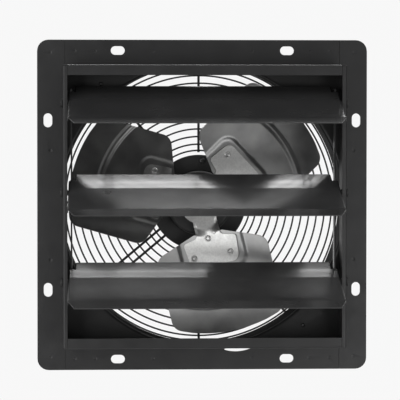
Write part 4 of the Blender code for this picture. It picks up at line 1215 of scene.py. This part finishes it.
def screw_head_mesh(radius, front, height, shank_radius, tip):
    """A pan-head screw about z whose head points to lower z, with a cross recess cut into it."""
    crown = radius * head_crown_share
    back = front - height
    mesh = turned_mesh([
        (0, tip), (shank_radius * screw_point_share, tip), (shank_radius, tip - shank_radius / 3),
        (shank_radius, front), (radius, front), (radius, back + height * head_side_share),
        (radius * head_rim_share, back + height * head_bevel_share), (crown, back), (0, back),
    ], small_segments)
    for turn in (0, pi / 2):
        outline = [rotated(x, y, turn) for x, y in rounded_outline(box_corners(crown, recess_arm, 0))]
        bar = plate_mesh([outline], 2 * recess_depth, rounded=False)
        mesh = carved_mesh(mesh, moved(bar, shift(0, 0, back)))
    return mesh


def hub():
    """The hub, its set screw in the rear sleeve, and the motor's shaft in its bore."""
    flange_front = cad_spider_middle - cad_spider_half - seat_gap
    front = cad_spider_middle + hub_front_reach
    sleeve_front = flange_front - hub_flange_thickness
    back = sleeve_front - hub_sleeve_length
    bore = shaft_radius + seat_gap / 2
    groove = hub_boss_radius - hub_chamfer
    mesh = turned_mesh([
        (bore, front), (groove, front), (hub_boss_radius, front - hub_chamfer),
        (hub_boss_radius, flange_front), (hub_flange_radius - hub_chamfer, flange_front),
        (hub_flange_radius, flange_front - hub_chamfer),
        (hub_flange_radius, sleeve_front), (hub_boss_radius, sleeve_front),
        (hub_boss_radius, back + hub_chamfer), (groove, back), (bore, back),
    ])
    piece("fan_hub", "turned", moved(mesh, hub_place), "rotor", "hub_metal")
    tip = hub_boss_radius + seat_gap
    socket = hub_screw_radius * head_crown_share
    screw = turned_mesh([
        (0, tip - recess_depth), (socket, tip - recess_depth), (socket, tip), (hub_screw_radius, tip),
        (hub_screw_radius, shaft_radius + seat_gap), (0, shaft_radius + seat_gap),
    ], small_segments, edge_round / 2)
    screw_place = hub_place @ shift(0, 0, sleeve_front - hub_sleeve_length / 2) @ along_x(1)
    piece("hub_set_screw", "turned", moved(screw, screw_place), "rotor", "pin_steel")
    shaft_back = fan_back - rear_bell_rear_back + bell_wall
    centre_mark = shaft_radius / 4
    shaft = turned_mesh([
        (0, front - centre_mark), (centre_mark, front), (shaft_radius - hub_chamfer, front),
        (shaft_radius, front - hub_chamfer), (shaft_radius, shaft_back), (0, shaft_back),
    ], small_segments * 2)
    piece("motor_shaft", "turned", moved(shaft, hub_place), "rotor", "shaft_steel")


# Wire guard and motor supports

def guard_ring_places():
    """Ring wires (radius, z), evenly spaced along the guard's section from its face to its side."""
    places = [(guard_inner_ring, -guard_face_back)]
    face_run = guard_side_radius - guard_corner_radius - guard_first_ring
    corner_run = guard_corner_radius * pi / 2
    side_run = guard_face_back - guard_corner_radius - guard_side_end_back
    run = 0
    while run <= face_run + corner_run + side_run:
        if run <= face_run:
            places.append((guard_first_ring + run, -guard_face_back))
        elif run <= face_run + corner_run:
            angle = (run - face_run) / guard_corner_radius
            radius = guard_side_radius - guard_corner_radius * (1 - sin(angle))
            places.append((radius, -guard_face_back + guard_corner_radius * (1 - cos(angle))))
        else:
            side = run - face_run - corner_run
            places.append((guard_side_radius, -guard_face_back + guard_corner_radius + side))
        run += guard_pitch
    return places


def rib_section(offset, inner_end, panel_end):
    """The line (radius, z) that a wire follows outside the rings, from the guard's face to the panel."""
    side_radius = guard_side_radius + offset
    corner_radius = guard_corner_radius + offset
    face = -guard_face_back - offset
    centre = (side_radius - corner_radius, face + corner_radius)
    corner = arc_points(centre, corner_radius, -pi / 2, 0, 3 * bend_steps)
    return [(inner_end, face)] + corner + [(side_radius, panel_end)]


def wire_guard():
    rings = []
    for radius, z in guard_ring_places():
        rings.append([(x, y, z) for x, y in circle_points((0, 0), radius, fine_segments)])
    section = rib_section(ring_wire_radius + rib_wire_radius - rib_weld_depth, rib_inner_end, -rib_panel_gap)
    angles = [2 * pi * index / rib_count for index in range(rib_count)]
    ribs = [[(*rotated(radius, 0, angle), z) for radius, z in section] for angle in angles]
    mesh = joined_mesh(wire_mesh(rings, ring_wire_radius, True), wire_mesh(ribs, rib_wire_radius, False))
    piece("wire_guard", "rings", mesh, "frame", "guard_black")


def support_screw_places():
    return [rotated(support_screw_radius, 0, angle) for angle in support_angles]


def motor_supports():
    """Hairpin wires from the motor plate out to feet that are screwed to the panel's back."""
    foot_z = -rib_wire_radius - seat_gap
    section = rib_section(meridian_offset, support_inner_end, foot_z - support_foot_bend)
    foot_centre = (rib_side_radius + support_foot_bend, foot_z - support_foot_bend)
    section += arc_points(foot_centre, support_foot_bend, pi, pi / 2, 2 * bend_steps)[1:]
    loop = arc_points((support_screw_radius, 0), support_half_spacing, pi / 2, -pi / 2, 3 * bend_steps)
    path = [(radius, support_half_spacing, z) for radius, z in section]
    path += [(radius, across, foot_z) for radius, across in loop]
    path += [(radius, -support_half_spacing, z) for radius, z in reversed(section)]
    for index, angle in enumerate(support_angles):
        mesh = moved(wire_mesh([path], rib_wire_radius, False), Matrix.Rotation(angle, 4, "Z"))
        piece(f"motor_support_wire_{index + 1}", "bent", mesh, "frame", "guard_black")


def screws(node, mesh, places):
    for index, (x, y) in enumerate(places):
        piece(f"{node}_{index + 1}", "cut", moved(mesh.copy(), shift(x, y, 0)), "frame", "pin_steel")


def guard_screws():
    front = -2 * rib_wire_radius - 2 * seat_gap
    back = front - guard_washer_thickness
    washer = turned_mesh([
        (guard_screw_radius, front), (guard_washer_radius, front),
        (guard_washer_radius, back), (guard_screw_radius, back),
    ], small_segments)
    screw = screw_head_mesh(guard_screw_head_radius, back, guard_screw_head_height, guard_screw_radius,
                            panel_sheet)
    screws("guard_screw", joined_mesh(washer, screw), support_screw_places())


# Motor

def motor_plate():
    """The round plate that the supports carry, and the screws that hold the motor to it."""
    front = -plate_rear_back + motor_plate_sheet
    places = [rotated(motor_screw_circle, 0, angle - pi / support_count) for angle in support_angles]
    outlines = [circle_points((0, 0), motor_plate_radius, fine_segments)]
    outlines.append(circle_points((0, 0), front_bell_radius + plate_hole_clearance, fine_segments))
    outlines += [circle_points(place, motor_screw_radius + seat_gap, small_segments) for place in places]
    disc = moved(plate_mesh(outlines, motor_plate_sheet), shift(0, 0, front - motor_plate_sheet / 2))
    piece("motor_plate", "disc", disc, "frame", "motor_black")
    screw = screw_head_mesh(motor_screw_head_radius, -front - seat_gap, motor_screw_head_height,
                            motor_screw_radius, shell_front_back + bell_wall)
    screws("motor_screw", moved(screw, Matrix.Rotation(pi, 4, "X")), places)


def motor_part(node, profile, cutter=None):
    mesh = turned_mesh(profile, fine_segments)
    piece(node, "drawn", carved_mesh(mesh, cutter) if cutter else mesh, "frame", "motor_black")


def front_bell():
    """The motor's front cover, a drawn cup with a stepped boss for the front bearing."""
    face = -front_bell_back
    boss_front = face + bearing_boss_reach
    edge = bell_edge_radius
    rear = -shell_front_back + seat_gap
    fillet = bearing_boss_reach / 3
    shaft_hole = shaft_radius + plate_hole_clearance
    seat = bearing_radius + seat_gap
    seat_end = boss_front - bell_wall - seat_gap - bearing_width
    wall = front_bell_radius - bell_wall
    motor_part("motor_front_bell", [
        (shaft_hole, boss_front),
        *arc_points((bearing_boss_radius - fillet, boss_front - fillet), fillet, pi / 2, 0, fillet_steps),
        *arc_points((bearing_boss_radius + fillet, face + fillet), fillet, pi, pi * 1.5, fillet_steps),
        *arc_points((front_bell_radius - edge, face - edge), edge, pi / 2, 0, 2 * fillet_steps),
        (front_bell_radius, rear), (wall, rear), (wall, face - bell_wall),
        (bearing_boss_radius, face - bell_wall), (bearing_boss_radius, seat_end), (seat, seat_end),
        (seat, boss_front - bell_wall), (shaft_hole, boss_front - bell_wall),
    ])


def motor_shell():
    """The drawn shell, with a front flange and two rolled beads round it."""
    front = -shell_front_back
    rear = -shell_rear_back
    step = front - bell_wall
    mouth = front_bell_radius - bell_wall
    bead = shell_bead_depth
    beads = []
    for middle in (front - shell_bead_place, rear + shell_bead_place):
        for index in range(2 * fillet_steps + 1):
            share = index / fillet_steps - 1
            beads.append((motor_shell_radius - bead * (1 - share * share), middle - share * shell_bead_half))
    motor_part("motor_shell", [
        (mouth, front),
        *arc_points((motor_flange_radius - bead, front - bead), bead, pi / 2, 0, fillet_steps),
        (motor_flange_radius, step), (motor_shell_radius + bead, step),
        *arc_points((motor_shell_radius + bead, step - bead), bead, pi / 2, pi, fillet_steps),
        *beads,
        (motor_shell_radius, rear), (motor_shell_radius - bell_wall, rear),
        (motor_shell_radius - bell_wall, step), (mouth, step),
    ])


def gland():
    """The rubber gland in the shell's underside, with grip grooves."""
    flange_back = motor_shell_radius + seat_gap
    seat_back = flange_back - gland_seat_depth
    tip = flange_back + gland_length
    profile = [(gland_bore_radius, tip), (gland_barrel_radius, tip)]
    for index in range(gland_grooves):
        radius = gland_barrel_radius + (gland_radius - gland_barrel_radius) * index / gland_grooves
        start = tip - gland_groove_pitch * (index + gland_rest_share)
        for depth, share in zip((0, gland_groove, gland_groove, 0), gland_groove_shares):
            profile.append((radius - depth, start - gland_groove_pitch * share))
    profile += [(gland_radius, flange_back), (gland_barrel_radius, flange_back),
                (gland_barrel_radius, seat_back), (gland_bore_radius, seat_back)]
    place = shift(0, 0, -(stack_rear_back + shell_rear_back) / 2) @ Matrix.Rotation(pi / 2, 4, "X")
    mesh = moved(turned_mesh(profile, small_segments, edge_round / 2), place)
    piece("cable_gland", "moulded", mesh, "frame", "gland_rubber")


def rear_bell():
    """The motor's rear cover, a drawn cup with a stepped bearing housing and cooling slots."""
    front = -rear_bell_front_back
    rear = -rear_bell_rear_back
    edge = bell_edge_radius
    fillet = rear_step_fillet
    inner = rear + rear_step_depth
    shell_inner = motor_shell_radius - bell_wall
    step_inner = rear_step_radius - bell_wall
    floor = rear + bell_wall
    seat = bearing_radius + seat_gap
    down = -pi / 2
    profile = [
        (0, floor), (seat, floor), (seat, floor + bearing_width),
        (bearing_boss_radius, floor + bearing_width), (bearing_boss_radius, floor), (step_inner, floor),
        (step_inner, inner + bell_wall),
        (shell_inner, inner + bell_wall), (shell_inner, front), (motor_shell_radius, front),
        *arc_points((motor_shell_radius - edge, inner + edge), edge, 0, down, 2 * fillet_steps),
        *arc_points((rear_step_radius + fillet, inner - fillet), fillet, pi / 2, pi, fillet_steps),
        *arc_points((rear_step_radius - fillet, rear + fillet), fillet, 0, down, fillet_steps),
        (0, rear),
    ]
    ends = arc_points((vent_outer, 0), vent_half, down, pi / 2, corner_steps)
    ends += arc_points((vent_inner, 0), vent_half, pi / 2, pi * 1.5, corner_steps)
    angles = [2 * pi * index / vent_count for index in range(vent_count)]
    vents = [[rotated(x, y, angle) for x, y in ends] for angle in angles]
    cutter = moved(plate_mesh(vents, 4 * bell_wall, rounded=False), shift(0, 0, inner))
    motor_part("motor_rear_bell", profile, cutter)


def inner_motor():
    """The windings, cores and bearings inside the motor keep their CAD shape and get their finish."""
    slots = {entry["node"]: entry["material_slot"] for entry in frame["record"]["subparts"]}
    kept = ("stator_core", "rotor_core", "front_bearing", "rear_bearing", "front_winding", "rear_winding")
    for name in kept:
        for material_slot in frame["nodes"][name].material_slots:
            material_slot.material = materials[slots[name]]


# Stage, light and camera

def studio_floor():
    """A pale round floor well below the fan."""
    mesh = bpy.data.meshes.new("floor")
    points = circle_points((0, 0), floor_radius, fine_segments)
    mesh.from_pydata([(x, y, floor_height) for x, y in points], [], [list(range(len(points)))])
    look = Finish("floor")
    grain = look.noise(scale=9.0)
    tone = look.colours(grain, (0.80, 0.80, 0.80), (0.84, 0.84, 0.84))
    mesh.materials.append(look.finish(tone, look.spread(grain, 0.7, 0.85)))
    floor = bpy.data.objects.new("studio_floor", mesh)
    bpy.context.scene.collection.objects.link(floor)


def studio_world():
    """A pale backdrop for the camera, and a soft even room for the object."""
    world = bpy.data.worlds.new("studio")
    bpy.context.scene.world = world
    world.use_nodes = True
    tree = world.node_tree
    tree.nodes.clear()
    direction = add_node(tree, "TexCoord", {}).outputs["Generated"]

    def worked(operation, first, second, kind="Math"):
        return add_node(tree, kind, {0: first, 1: second}, operation=operation).outputs["Value"]

    total = room_level
    for axis, sharpness, strength in room_lobes:
        facing = worked("DOT_PRODUCT", direction, Vector(axis).normalized(), "VectorMath")
        lobe = worked("MULTIPLY", worked("POWER", worked("MAXIMUM", facing, 0.0), sharpness), strength)
        total = worked("ADD", lobe, total)
    light = add_node(tree, "Background", {"Strength": total})
    backdrop = add_node(tree, "Background", {"Color": backdrop_colour})
    seen = add_node(tree, "LightPath", {}).outputs["Is Camera Ray"]
    mix = add_node(tree, "MixShader", {0: seen, 1: light.outputs[0], 2: backdrop.outputs[0]})
    add_node(tree, "OutputWorld", {"Surface": mix.outputs[0]})
    bpy.context.scene.view_settings.view_transform = "Standard"


def studio_lights():
    """Broad soft lights that the camera doesn't see."""
    for name, place, target, width, height, radiance in softboxes:
        light = bpy.data.lights.new(name, "AREA")
        light.shape = "RECTANGLE"
        light.size = width
        light.size_y = height
        light.energy = radiance * pi * width * height
        obj = bpy.data.objects.new(name, light)
        obj.location = place
        obj.rotation_euler = (Vector(target) - Vector(place)).to_track_quat("-Z", "Y").to_euler()
        obj.visible_camera = False
        bpy.context.scene.collection.objects.link(obj)


def studio_camera():
    """Just left of the middle and a little above it, as in the photograph."""
    camera = bpy.data.cameras.new("camera")
    camera.lens = camera_lens
    camera.sensor_width = camera_sensor
    camera.shift_x, camera.shift_y = camera_shift
    obj = bpy.data.objects.new("camera", camera)
    obj.location = camera_place
    obj.rotation_euler = camera_turn
    bpy.context.scene.collection.objects.link(obj)
    bpy.context.scene.camera = obj


studio_camera()
side_rails()
end_rails()
fan_panel()
louvres()
tie_rods()
fan()
hub()
wire_guard()
motor_supports()
guard_screws()
motor_plate()
front_bell()
motor_shell()
gland()
rear_bell()
inner_motor()
studio_floor()
studio_world()
studio_lights()
